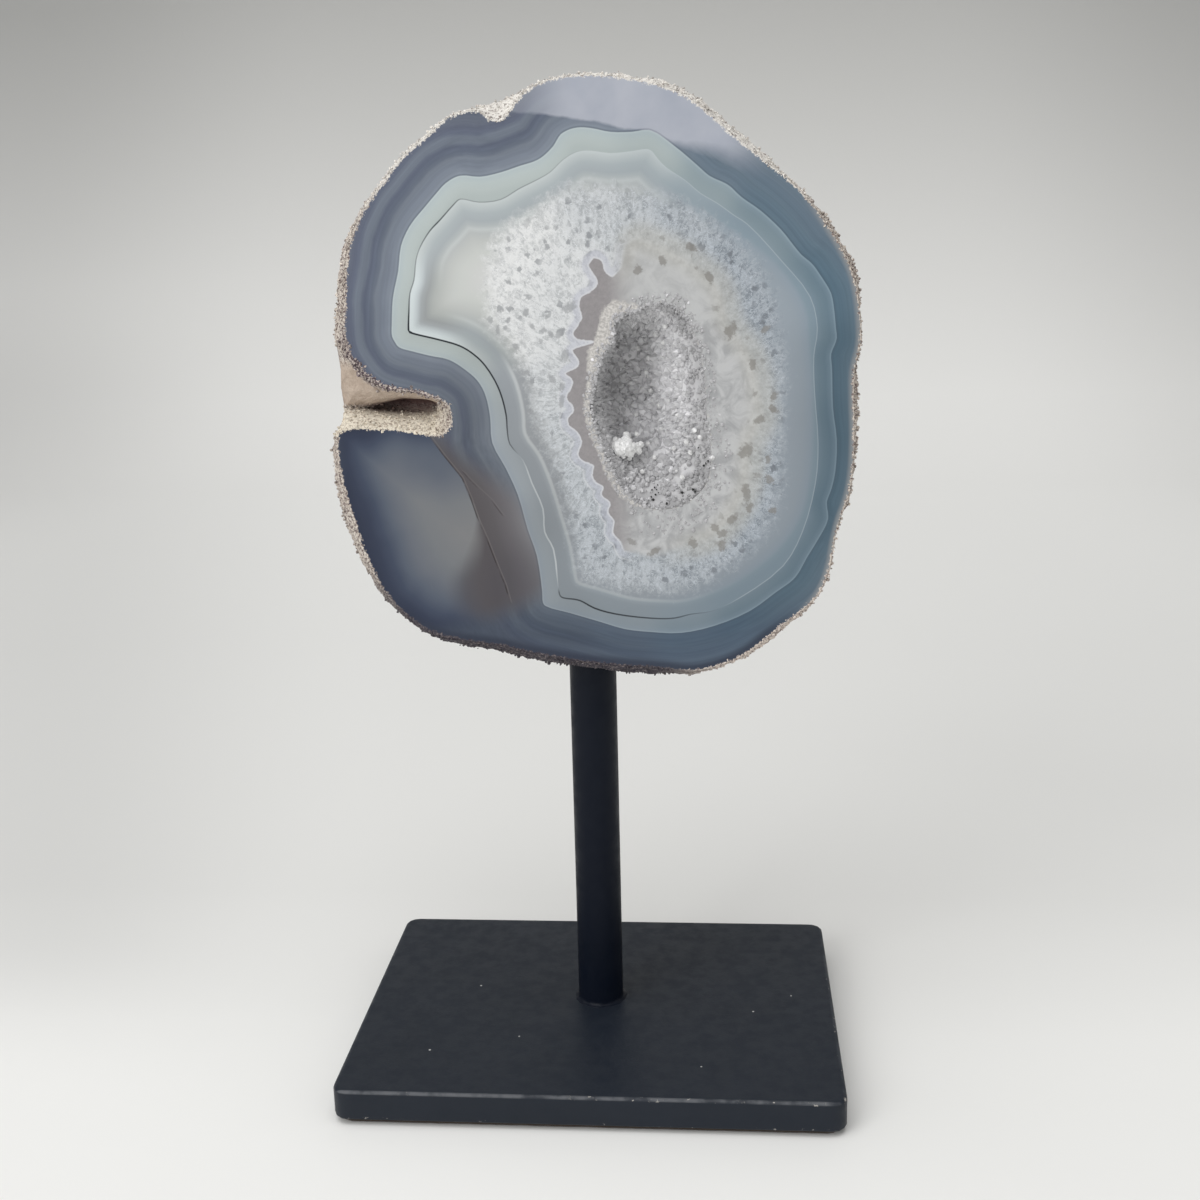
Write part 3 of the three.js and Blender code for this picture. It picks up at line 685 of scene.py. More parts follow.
def faceNumbers(points, edge, start, count):
    # distances of the face's points from the lines, and fields of tone; 0 for all other points
    fields = {}
    p = points[start:start + count][:, [0, 2]]
    x, z = p.T

    def put(name, values):
        full = np.zeros(len(points))
        full[start:start + count] = values
        fields[name] = full

    for name, loop in (("pale", paleBand), ("grey", greyBand), ("quartz", quartzRim),
                       ("cloud", cloudRim), ("mouth", mouthStations)):
        put(name, awayFrom(p, loopThrough(loop, 3), True)[0])
    for name, line, closed in (("edgeGap", edge, True), ("pocket", pocketRim, True),
                               ("lavender", lavenderLine, False), ("mauve", mauveLine, False),
                               ("crack", crackLine, False), ("branch", branchLine, False)):
        put(name, awayFrom(p, line, closed)[0])
    fields["mouth"] *= -1
    inner, share = awayFrom(p, loopThrough(darkLine, 3), True)
    put("inner", inner)
    put("ink", np.interp(share, *np.array(inkStops).T))
    apart = p[:, None] - flecks[None, :, :2]
    turn = np.radians(flecks[:, 4])
    alongIt = apart[..., 0] * np.cos(turn) + apart[..., 1] * np.sin(turn)
    acrossIt = apart[..., 1] * np.cos(turn) - apart[..., 0] * np.sin(turn)
    put("fleck", np.hypot(alongIt / flecks[:, 2] * 1.7, acrossIt / flecks[:, 3] * 1.7).min(1))
    teal, light = fieldFrom(tintStations, p).T
    put("teal", teal)
    put("light", light)
    put("upper", stepUp(z - 0.15 * x, 147, 153))
    put("snow", fieldFrom(snowStations, p)[:, 0])
    return fields


faceStart = rearRows * stone["around"]
storeNumbers(stoneObject, **faceNumbers(stonePoints, faceEdge, faceStart,
                                        faceRows * stone["around"]))
print("banding measured out")


def makeAgate():
    material, shader = startMaterial("agate_polished", Roughness=0.1, IOR=1.54,
                                     Specular_IOR_Level=0.22)
    place = placeInMm()
    x, _, z = axes(place)
    n = {name: number(name) for name in (
        "edgeGap", "pale", "inner", "ink", "grey", "quartz", "cloud", "mouth", "lavender",
        "pocket", "mauve", "crack", "teal", "light", "upper", "snow", "branch", "fleck")}
    outside = times(n["pale"], -1)
    # bands swell and thin a little along their length
    wavy = plus(outside, wobble(place, 9, 2, 1.6))

    # outer slate stripes, from the pale band (0) outwards
    slate = bands(wavy, [
        (-0.5, (140, 149, 160)), (0.5, (134, 142, 154)), (1.3, (126, 134, 147)),
        (2.2, (119, 127, 140)), (3.1, (122, 130, 142)), (3.6, (108, 116, 130)),
        (4.4, (99, 107, 123)), (5.2, (97, 104, 121)), (5.9, (112, 120, 133)),
        (6.9, (114, 122, 135)), (7.7, (101, 108, 125)), (8.5, (99, 105, 122)),
        (9.5, (104, 110, 124)), (14, (96, 103, 117))])
    slateRight = bands(wavy, [
        (-0.5, (82, 104, 118)), (0.5, (80, 103, 118)), (1.5, (84, 106, 121)),
        (2.6, (88, 109, 123)), (3.6, (92, 111, 125)), (5.5, (98, 115, 128)), (9, (96, 112, 126))])
    outer = mix(n["teal"], slate, slateRight)
    along = add("CombineXYZ", {0: outside, 1: times(n["edgeGap"], 0.35)})
    fine = noise(along, 0.55, 2)
    outer = tint(outer, mix(fine, (0.62, 0.62, 0.64, 1), (1.38, 1.38, 1.36, 1)), 0.5)
    lightOuter = add("CombineXYZ", {0: n["light"], 1: n["light"], 2: n["light"]})
    outer = tint(outer, lightOuter)

    # the bands outside the pale one are darker towards the bottom
    under = between(z, 106, 94, 0, 0.85)
    outer = mix(under, outer, tint(outer, (0.66, 0.7, 0.8, 1)))

    # lavender zone along the top
    softness = between(x, 12, 34, 0.5, 4.5)
    uneven = plus(n["lavender"], wobble(place, 5, 3, 1.6))
    lavMask = plus(calc("DIVIDE", uneven, softness), 0.5, clamp=True)
    lavMask = times(lavMask, between(x, 27, 37, 1, 0))
    lavMask = times(lavMask, between(x, -11, 1, 0.3, 1))
    lavCloud = noise(place, 7, 3)
    lavender = mix(lavCloud, (158, 164, 178), (186, 189, 198))
    outer = mix(lavMask, outer, lavender)

    # smoky pocket: navy at the edge, grey inside, brown beyond the mauve line
    pocketDepth = plus(n["edgeGap"], wobble(place, 12, 2, 4))
    underSlot = times(between(x, -43, -35), between(z, 124, 134))
    pocketDepth = plus(pocketDepth, times(underSlot, 4))
    smoke = bands(pocketDepth, [
        (0, (40, 47, 66)), (2.5, (49, 57, 77)), (4.5, (62, 71, 90)), (7, (85, 93, 107)),
        (10, (103, 108, 117)), (14, (117, 120, 124)), (20, (124, 125, 127))])
    brown = bands(outside, [
        (0, (124, 124, 129)), (1, (116, 115, 119)), (2.4, (107, 105, 109)), (4, (99, 96, 100)),
        (6, (90, 87, 90)), (9, (84, 80, 83)), (14, (92, 88, 89))])
    brown = mix(between(z, 118, 104, 0, 0.5), brown, (72, 70, 77))
    dusk = vector("DISTANCE", place, (-19.5, -13, 103.5), out=1)
    smoke = mix(between(dusk, 3, 9, 0.8, 0), smoke, (74, 73, 80))
    mauveSoft = between(z, 121, 110, 0.3, 4)
    mauveEdge = plus(calc("DIVIDE", n["mauve"], mauveSoft), 0.5, clamp=True)
    pocket = mix(mauveEdge, smoke, brown)
    for crack, width, share, low in (("crack", 0.22, 0.75, 100.8), ("branch", 0.2, 0.45, 118.3)):
        line = between(absolute(n[crack]), 0.04, width, share, 0)
        line = times(line, between(z, low, low + 1))
        line = times(line, patches(place, 3, 3, 0.36, 0.55))
        pocket = mix(line, pocket, (48, 42, 42))
        glint = between(absolute(plus(n[crack], -0.3)), 0.02, 0.22, share * 0.2, 0)
        glint = times(glint, between(z, low, low + 1))
        pocket = mix(glint, pocket, (158, 150, 146))
    outer = mix(between(n["pocket"], -1, 4.5), outer, pocket)

    # pale band, the dark line and what lies inside it
    inside = n["pale"]
    mint = bands(inside, [
        (0, (196, 206, 207)), (0.35, (184, 195, 198)), (1.2, (188, 198, 198)),
        (2.4, (187, 196, 195)), (3.4, (182, 191, 190)), (5, (180, 189, 188))])
    mintRight = bands(inside, [
        (0, (124, 144, 157)), (0.4, (104, 124, 138)), (1.2, (95, 116, 130)),
        (2.4, (101, 121, 134)), (3.6, (112, 130, 143)), (5, (118, 136, 148))])
    mint = mix(between(z, 152, 132, 0, 0.75), mint, tint(mint, (1.0, 0.98, 1.09, 1)))
    pale = mix(n["teal"], mint, mintRight)
    glowLeft = bands(n["inner"], [
        (0, (222, 230, 232)), (0.8, (216, 225, 227)), (1.5, (200, 208, 211)),
        (2.3, (172, 177, 180)), (3.2, (163, 167, 168)), (4.5, (180, 184, 182)),
        (6.5, (194, 197, 194)), (8, (202, 205, 203)), (11, (205, 207, 204)),
        (16, (209, 210, 209))])
    glowTop = bands(n["inner"], [
        (0, (204, 211, 212)), (0.7, (194, 201, 202)), (2, (178, 186, 189)),
        (3.4, (172, 179, 183)), (4.3, (182, 188, 189)), (4.9, (197, 202, 202)),
        (5.6, (186, 190, 190)), (7, (193, 196, 194)), (9, (201, 204, 201)), (13, (207, 208, 207))])
    leftPart = times(between(x, -19, -27), between(z, 171, 162))
    glow = mix(leftPart, glowTop, glowLeft)
    plain = bands(n["grey"], [
        (-4, (173, 180, 186)), (-1.2, (176, 182, 188)), (-0.5, (186, 192, 197)),
        (-0.15, (214, 219, 222)), (0.15, (216, 220, 222)), (0.5, (180, 184, 188)),
        (1.5, (176, 180, 184)), (3.5, (190, 192, 194)), (7, (206, 207, 207))])
    innerLeft = mix(n["upper"], plain, glow)
    innerLeft = mix(between(x, 12, 32, 0, 0.8), innerLeft, (146, 157, 167))
    innerRight = bands(n["grey"], [
        (-1.5, (122, 139, 151)), (-0.4, (126, 143, 154)), (0.5, (138, 150, 161)),
        (2, (144, 154, 163)), (5, (150, 159, 168)), (9, (158, 166, 174))])
    innerZone = mix(n["teal"], innerLeft, innerRight)
    pale = mix(between(n["inner"], -0.1, 0.1), pale, innerZone)
    inkWidth = times(absolute(n["ink"]), 0.12)
    inkMask = minus(1.0, calc("DIVIDE", absolute(n["inner"]), plus(inkWidth, 0.1)), clamp=True)
    inkTone = mix(calc("GREATER_THAN", n["ink"], 0.0), (222, 228, 232), (38, 42, 48))
    inkShare = times(calc("POWER", inkMask, 0.5), times(absolute(n["ink"]), 1.4), clamp=True)
    pale = mix(inkShare, pale, inkTone)
    pale = tint(pale, lightOuter)

    # granular quartz: cottony white streaks that fan out from the hollow, frost and grey flecks
    fray = wobble(place, 1.5, 5, 8, 0.72)
    grainMask = between(plus(n["quartz"], fray), -1.0, 3.2)
    ray = vector("SUBTRACT", place, (12, -13, 141))
    turned = vector("SCALE", vector("NORMALIZE", ray), 26.0)
    reach = times(vector("LENGTH", ray, out=1), 0.4)
    fan = vector("ADD", turned, add("CombineXYZ", {1: reach}))
    streak = noise(fan, 0.8, 5, 0.65, 0.8)
    cotton = noise(place, 1.9, 6, 0.68, 0.6)
    feather = mix(0.4, streak, cotton)
    whites = mix(n["snow"], (142, 152, 163), (227, 228, 228))
    greys = mix(n["snow"], (106, 117, 128), (197, 199, 200))
    grains = mix(between(feather, 0.42, 0.56), greys, whites)
    for size, seedPlace in ((1.5, 0.0), (1.0, 40.0)):
        moved = vector("ADD", place, (seedPlace, 0, 0))
        ridge = absolute(minus(noise(moved, size, 3, 0.6, 1.2), 0.5))
        frost = between(ridge, 0.0, 0.024, 0.88, 0)
        grains = mix(frost, grains, mix(n["snow"], (172, 182, 194), (236, 237, 238)))
    sheet = add("CombineXYZ", {0: x, 1: z})
    warp = vector("ADD", sheet, vector("SCALE", noise(place, 0.9, 3, out=1), 2.0))
    distance, colour = cells(warp, 1.9)
    pick = add("SeparateColor", {0: colour})
    fleckSize = between(pick, 0.15, 1.0, -0.08, 0.36)
    fleck = between(minus(distance, fleckSize), -0.14, 0.08, 1, 0)
    patchy = patches(place, 5.5, 3, 0.4, 0.56, 0.25, 1)
    fleck = times(fleck, patchy)
    fleckTone = mix(n["snow"], (96, 104, 113), (158, 160, 163))
    grains = mix(times(fleck, 0.82), grains, fleckTone)
    pale = mix(grainMask, pale, grains)

    # cloudy quartz around the hollow, mauve on its left, yellowish at its right rim
    cloudDepth = plus(n["cloud"], wobble(place, 1.1, 2, 0.5))
    cloudNoise = noise(place, 4.2, 5, 0.62, 0.9)
    cloud = mix(between(cloudNoise, 0.34, 0.62), (163, 164, 166), (192, 193, 194))
    topPart = between(z, 150, 162, 0, 0.5)
    cloud = mix(topPart, cloud, (192, 193, 193))
    mauveSide = between(x, 5, 12, 1, 0)
    mauveTone = mix(noise(place, 0.7, 4, 0.7), (132, 129, 131), (164, 160, 161))
    cloud = mix(mauveSide, cloud, mauveTone)
    scallop = between(x, 6, 11, 1, 0)
    for at, width, tone, share in ((-0.75, 0.9, (186, 188, 200), 0.55),
                                   (-1.7, 0.22, (212, 213, 217), 0.5),
                                   (-0.12, 0.3, (208, 209, 214), 0.8)):
        line = between(absolute(minus(cloudDepth, at)), width * 0.35, width, share, 0)
        pale = mix(times(line, scallop), pale, tone)
    crisp = between(x, 6, 14, 0.15, 1.6)
    cloudMask = plus(calc("DIVIDE", cloudDepth, crisp), 0.5, clamp=True)
    full = mix(cloudMask, pale, cloud)
    ringSide = calc("MAXIMUM", between(x, 13, 24), times(between(z, 158, 168), between(x, 5, 11)))
    ring = between(absolute(plus(n["cloud"], 0.2)), 0.9, 4.2, 0.8, 0)
    ringShare = times(ring, ringSide)
    ringTone = mix(patches(place, 1.5, 5, 0.35, 0.65, rough=0.65), (170, 169, 164),
                   (194, 194, 190))
    full = mix(times(ringShare, 0.75), full, ringTone)
    distance, colour = cells(warp, 2.6, distance="CHEBYCHEV")
    spotPick = add("SeparateColor", {0: colour}, out=1)
    spotSize = between(spotPick, 0.45, 1.0, -0.1, 0.26)
    spot = between(minus(distance, spotSize), -0.1, 0.03, 0.55, 0)
    full = mix(times(spot, ringShare), full, (122, 119, 114))
    raggedFleck = plus(n["fleck"], wobble(place, 0.8, 4, 2.6, 0.7))
    bigFleck = between(raggedFleck, 0.7, 1.25, 0.66, 0)
    full = mix(bigFleck, full, mix(between(x, 4, 12), (152, 154, 157), (128, 125, 120)))

    # sparkling rim around the hollow's mouth
    rimHigh = between(z, 143, 153, 1.2, 3.0)
    rimWidth = times(rimHigh, between(x, 6, 14, 1, 0.05))
    ragged = wobble(place, 0.9, 4, 2.5, 0.7)
    rim = between(plus(minus(n["mouth"], rimWidth), ragged), -0.3, 0.2, 0.9, 0)
    rimTone = mix(patches(place, 0.45, 3, 0.35, 0.65), (180, 177, 174), (218, 215, 211))
    full = mix(rim, full, rimTone)

    face = mix(between(inside, -0.08, 0.08), outer, full)
    fineLine = between(absolute(minus(outside, 0.18)), 0.05, 0.22, 0.3, 0)
    face = mix(fineLine, face, (70, 80, 92))

    # dark under-edge at the bottom, thin light edge at the right
    low = between(z, 101, 94)
    darkEdge = times(between(n["edgeGap"], 0.6, 2.2, 0.8, 0), low)
    face = mix(darkEdge, face, (44, 50, 66))
    rightEdge = times(between(n["edgeGap"], 0.3, 1.3, 0.7, 0), between(x, 41, 46))
    face = mix(rightEdge, face, (146, 147, 148))

    # crumbs of the rind bite into the face along its edge, most at the left and the slot
    biteWidth = plus(0.12, times(between(x, -22, -30), 0.3))
    bite = wobble(place, 0.6, 4, 2.2, 0.75)
    biteMask = between(minus(plus(n["edgeGap"], bite), biteWidth), 0.0, 0.14, 1, 0)
    face = mix(biteMask, face, rindTone(place))
    feed(shader, {"Base Color": face})
    return material


def rindTone(place):
    # near the face cream crumbs and brown-purple specks, whiter on top, dark and purple underneath,
    # tan in the slot with painted shade deeper in; further back an earthy skin with pale patches
    # and dark pits
    x, y, z = axes(place)
    coarse = noise(place, 0.5, 5, 0.75)

    def flecked(low, high, dark, light):
        return mix(between(coarse, low, high), dark, light)

    cream = mix(noise(place, 3.5, 3), (196, 184, 172), (226, 219, 209))
    dark = mix(noise(place, 2, 2), (92, 76, 78), (122, 104, 100))
    tone = flecked(0.42, 0.55, dark, cream)
    tone = mix(patches(place, 0.3, 3, 0.55, 0.68, 0, 0.7), tone, (240, 235, 228))
    high = between(z, 170, 186)
    tone = mix(times(high, between(coarse, 0.38, 0.5, 0.15, 0.9)), tone, (230, 227, 221))
    low = times(between(z, 112, 97), between(x, 30, 16))
    tone = mix(times(low, 0.92), tone, flecked(0.52, 0.68, (44, 40, 54), (142, 130, 130)))
    lowRight = times(between(z, 114, 106), between(x, 14, 28))
    tone = mix(times(lowRight, 0.6), tone, flecked(0.4, 0.5, (140, 122, 120), (232, 220, 210)))
    slotX = between(x, -24, -29)
    lower = times(slotX, between(z, 134, 135), between(z, 139.9, 138.9))
    tone = mix(times(lower, 0.7), tone, flecked(0.36, 0.5, (150, 130, 112), (236, 227, 208)))
    fringe = times(slotX, between(y, -12.1, -12.5), between(z, 140, 141.5))
    fringe = times(fringe, between(z, 158, 150))
    tone = mix(times(fringe, 0.9), tone, flecked(0.46, 0.58, (78, 64, 72), (198, 186, 178)))
    wall = times(slotX, between(z, 139.6, 140.6), between(z, 150, 147))
    wall = times(wall, between(y, -12.7, -12.1))
    tan = mix(noise(place, 1.1, 4), (168, 148, 132), (204, 188, 172))
    # the upper wall is painted darker deeper into the slot: painted shade
    tan = mix(between(plus(y, times(x, 0.12)), -14.2, -11.2), tan, (120, 94, 84))
    tone = mix(times(wall, 0.9), tone, tan)
    # the slit's deep part is painted dark: painted shade
    deep = times(slotX, between(y, -9.5, -6.5))
    deep = times(deep, between(x, -45, -41), between(z, 137, 138.5), between(z, 143.5, 142))
    tone = mix(times(deep, 0.85), tone, (84, 60, 58))
    earth = mix(patches(place, 9, 5, 0.36, 0.62, rough=0.6), (112, 99, 88), (172, 160, 146))
    earth = mix(between(noise(place, 17, 4, 0.6, 0.6), 0.52, 0.62, 0, 0.65), earth,
                flecked(0.4, 0.6, (170, 160, 150), (212, 206, 196)))
    earth = mix(patches(place, 24, 3, 0.56, 0.66, 0, 0.5), earth, (98, 104, 100))
    earth = mix(patches(place, 1.8, 5, 0.47, 0.4, 0, 0.65, rough=0.72), earth, (74, 64, 58))
    earth = mix(between(coarse, 0.56, 0.66, 0, 0.3), earth, (226, 219, 208))
    rearShare = between(plus(y, wobble(place, 4, 4, 9)), -8.5, -3)
    wholeSlot = times(slotX, between(z, 135.5, 137), between(z, 148, 143))
    wholeSlot = times(wholeSlot, between(y, 1, -2))
    rearShare = times(rearShare, minus(1.0, wholeSlot))
    return mix(rearShare, tone, earth)


def makeRind():
    material, shader = startMaterial("agate_rind", Roughness=0.85, IOR=1.5)
    place = placeInMm()
    height = plus(times(noise(place, 0.4, 4), 0.4), times(noise(place, 1.8, 5, 0.72), 1.2))
    bump = add("Bump", {"Height": height, "Strength": 0.7, "Distance": 0.0006})
    feed(shader, {"Base Color": rindTone(place), "Normal": bump})
    return material


setMaterial(stoneObject, makeAgate(), makeRind())
rearFaces = (rearRows + 1) * stone["around"]  # fan, rows and the step to the face's edge
slotOf = np.zeros(len(stoneObject.data.polygons), np.int32)
slotOf[:rearFaces] = 1
stoneObject.data.polygons.foreach_set("material_index", slotOf)
print("agate finished")


# ---- stand: plate, rod with its ring of weld, and felt pad
stand = {
    "plate": (102.0, 76.0, 6.3),
    "plateCorner": 3.0,
    "plateBevel": 0.55,
    "pad": (100.0, 74.0, 1.2),
    "postRadius": 4.9,
    "postY": 2.0,
    "postTop": 99.0,
    "weld": 0.75,
    "around": 256,
}


def roundedOutline(width, depth, radius, count):
    # a rectangle with quarter-circle corners, walked at even steps from the middle of one side
    x, y, r = width / 2, depth / 2, radius
    turn = np.linspace(0, np.pi / 2, 13)
    corners = [(x - r, -y + r, -np.pi / 2), (x - r, y - r, 0),
               (-x + r, y - r, np.pi / 2), (-x + r, -y + r, np.pi)]
    loop = np.vstack([np.stack([cx + r * np.cos(start + turn), cy + r * np.sin(start + turn)], -1)
                      for cx, cy, start in corners])
    return alongLoop(loop, np.arange(count) / count)


def slabSkin(width, depth, radius, profile, count):
    # profile of (how far in from the outline, z) carried around a rounded rectangle
    outline = roundedOutline(width, depth, radius, count)
    rings = []
    for inset, z in profile:
        ring = roundedOutline(width - 2 * inset, depth - 2 * inset, max(radius - inset, 0.4), count)
        rings.append(np.column_stack([ring, np.full(count, z)]))
    low, high = profile[0][1], profile[-1][1]
    return closedSkin(np.array(rings), (0, 0, low), (0, 0, high))


def makePlate():
    # a rounded slab whose upper and lower edges are quarter circles
    width, depth, thick = stand["plate"]
    low = stand["pad"][2]
    high, b = low + thick, stand["plateBevel"]
    curve = np.linspace(0, np.pi / 2, 6)
    under = [(b - b * np.sin(t), low + b - b * np.cos(t)) for t in curve]
    over = [(b - b * np.cos(t), high - b + b * np.sin(t)) for t in curve]
    fill = [(i, low) for i in (30, 20, 10, 4, 1.5)]
    wall = [(0, low + b + (thick - 2 * b) * s) for s in (0.25, 0.5, 0.75)]
    profile = fill + under + wall + over + [(i, high) for i in (1.5, 4, 10, 20, 30)]
    points, faces = slabSkin(width, depth, stand["plateCorner"], profile, stand["around"])
    return makeObject("base_plate_painted", points, faces)


def makePad():
    # a rounded slab with a soft edge that is frayed a little by noise
    width, depth, thick = stand["pad"]
    around = stand["around"]
    soft = [(28, 0), (14, 0), (5, 0), (1.2, 0), (0.35, 0.08), (0.06, 0.35), (0, 0.6),
            (0.05, 0.85), (0.3, 1.12), (1.2, thick), (5, thick), (14, thick), (28, thick)]
    points, faces = slabSkin(width, depth, stand["plateCorner"], soft, around)
    side = stepUp(np.abs(points[:, 0]), 45, 50) + stepUp(np.abs(points[:, 1]), 33, 37)
    fuzz = (lumps(points * (1, 1, 2), 0.9, 21) - 0.6) * 0.28 * np.clip(side, 0, 1)
    points[:, :2] *= (1 + np.minimum(fuzz, 0) / 50)[:, None]
    return makeObject("felt_pad_soft", points, faces)


def makePost():
    # a profile of radius and height turned around the rod's axis: the weld's bead is a quarter
    # circle at its foot, with a slight wave around it
    sides = 64
    r, w, low = stand["postRadius"], stand["weld"], stand["pad"][2] + stand["plate"][2]
    bead = np.linspace(0, np.pi / 2, 7)
    profile = [(r + w, low - 0.2)]
    profile += [(r + w * (1 - np.sin(t)) + 0.02, low + w * (1 - np.cos(t)) + 0.02) for t in bead]
    profile += [(r, z) for z in np.linspace(low + w + 0.4, stand["postTop"] - 0.6, 24)]
    profile += [(r - 0.25, stand["postTop"] - 0.15), (r - 0.6, stand["postTop"])]
    radius, height = np.array(profile).T
    turn = np.arange(sides) / sides * 2 * np.pi
    weldWave = 1 + 0.03 * np.sin(turn * 11) * np.sin(turn * 4 + 1)
    radius = radius[:, None] * np.where(height[:, None] < low + w * 0.7, weldWave, 1)
    rings = np.stack([radius * np.cos(turn), stand["postY"] + radius * np.sin(turn),
                      np.repeat(height[:, None], sides, 1)], -1)
    points, faces = closedSkin(rings, (0, stand["postY"], low - 0.2),
                               (0, stand["postY"], stand["postTop"]))
    return makeObject("post_rod", points, faces)


plateObject, padObject, postObject = makePlate(), makePad(), makePost()
for made, node, slot in ((plateObject, "base_plate", "stand_paint"),
                         (postObject, "post", "stand_paint"), (padObject, "felt_pad", "pad_felt")):
    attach(made, "root")
    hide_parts(node)
print("stand made")

# ---- crystals that line the hollow
druse = {
    "crustInset": 1.3,
    "count": 3600,
    "rimCount": 1200,
    "groupCount": 110,
    "radius": (0.35, 1.2),
    "front": (9.0, -16.0, 143.0),  # a place in front of the hollow that the crystals face
    "cols": 220,
    "rows": 70,
    "onFace": -12.95,  # y of the crystals that lie on the face
    "groupAt": (8.3, 131.9),  # the white group's middle, x and z
    "seed": 23,
}


def crustSurface(u, v):
    # a point of the crust: u around the hollow, v from its mouth (0) to its floor (1); the
    # sections' outline, drawn in by the crust's thickness, with a rounded floor
    mouth = loopThrough(mouthStations, 8)
    outline = alongLoop(mouth, u) - mouthCentre
    depth = -13 + 15.6 * v ** 0.9
    x, z, size = (np.interp(depth, hollowSections[:, 0], hollowSections[:, n]) for n in (1, 2, 3))
    reach = np.linalg.norm(outline, axis=-1)
    shrink = np.maximum(size * (1 - 0.985 * stepUp(v, 0.55, 1.0) ** 1.5)
                        - druse["crustInset"] * stepUp(v, -0.01, 0.16) / reach, 0.01)
    return np.stack([x + outline[..., 0] * shrink, depth, z + outline[..., 1] * shrink], -1)


def toFront(place):
    return np.array(druse["front"]) - place


def makeCrust():
    # the crust's surface with lumps on it, closed by a shell behind it that lies on the stone
    u = np.arange(druse["cols"]) / druse["cols"]
    v = np.linspace(0, 1, druse["rows"])[:, None]
    rings = crustSurface(u[None] + v * 0, v + u[None] * 0)
    bumps = (lumps(rings, 1.8, 31) - 0.5) * 0.8 + (lumps(rings, 0.8, 33) - 0.5) * 0.3
    inward = toFront(rings)
    inward /= np.linalg.norm(inward, axis=2)[..., None]
    rings = rings + inward * (bumps * stepUp(v, 0, 0.08))[..., None]
    back = crustSurface(u[None] + v[::-1] * 0, v[::-1] + u[None] * 0)
    away = toFront(back)
    away /= np.linalg.norm(away, axis=2)[..., None]
    shell = (back - away * 0.6)[1::6]
    rings = np.concatenate([shell, rings])
    return closedSkin(rings, rings[0].mean(0), rings[-1].mean(0))


crustPoints, crustFaces = makeCrust()
crustObject = makeObject("quartz_crust", crustPoints, crustFaces)
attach(crustObject, "root")
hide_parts("quartz_druse")
print("crust made")


# ---- quartz points standing on the crust and around its mouth
crystalCorners = 13  # six at the foot, six at the shoulder and the tip


def crystalMesh(place, aim, radius, height, spin):
    # six-sided columns with a pointed end: a ring of corners at the foot, one at the shoulder and
    # the tip, turned so that their axis is the aim
    count = len(place)
    aim = aim / np.linalg.norm(aim, axis=1)[:, None]
    side = np.cross(aim, np.where(np.abs(aim[:, :1]) < 0.8, [[1.0, 0, 0]], [[0, 1.0, 0]]))
    side /= np.linalg.norm(side, axis=1)[:, None]
    other = np.cross(aim, side)
    turn = np.arange(6) / 6 * 2 * np.pi
    angle = spin[:, None] + turn[None]
    ring = side[:, None] * np.cos(angle)[..., None] + other[:, None] * np.sin(angle)[..., None]
    foot = place[:, None] + ring * radius[:, None, None] - aim[:, None] * radius[:, None, None]
    shoulder = (place[:, None] + ring * (radius * 0.96)[:, None, None]
                + aim[:, None] * (height * 0.35)[:, None, None])
    tip = place + aim * (height * 0.35 + radius * 1.1)[:, None]
    points = np.concatenate([foot, shoulder, tip[:, None]], 1).reshape(-1, 3)
    j = np.arange(6)
    k = (j + 1) % 6
    walls = np.stack([j, k, k + 6, j + 6], -1)
    ends = np.stack([j + 6, k + 6, np.full(6, 12)], -1)
    shift = (np.arange(count) * crystalCorners)[:, None, None]
    quads = (walls[None] + shift).reshape(-1, 4).tolist()
    tips = (ends[None] + shift).reshape(-1, 3).tolist()
    caps = (np.arange(5, -1, -1)[None] + shift[:, 0]).tolist()
    return points, quads + tips + caps


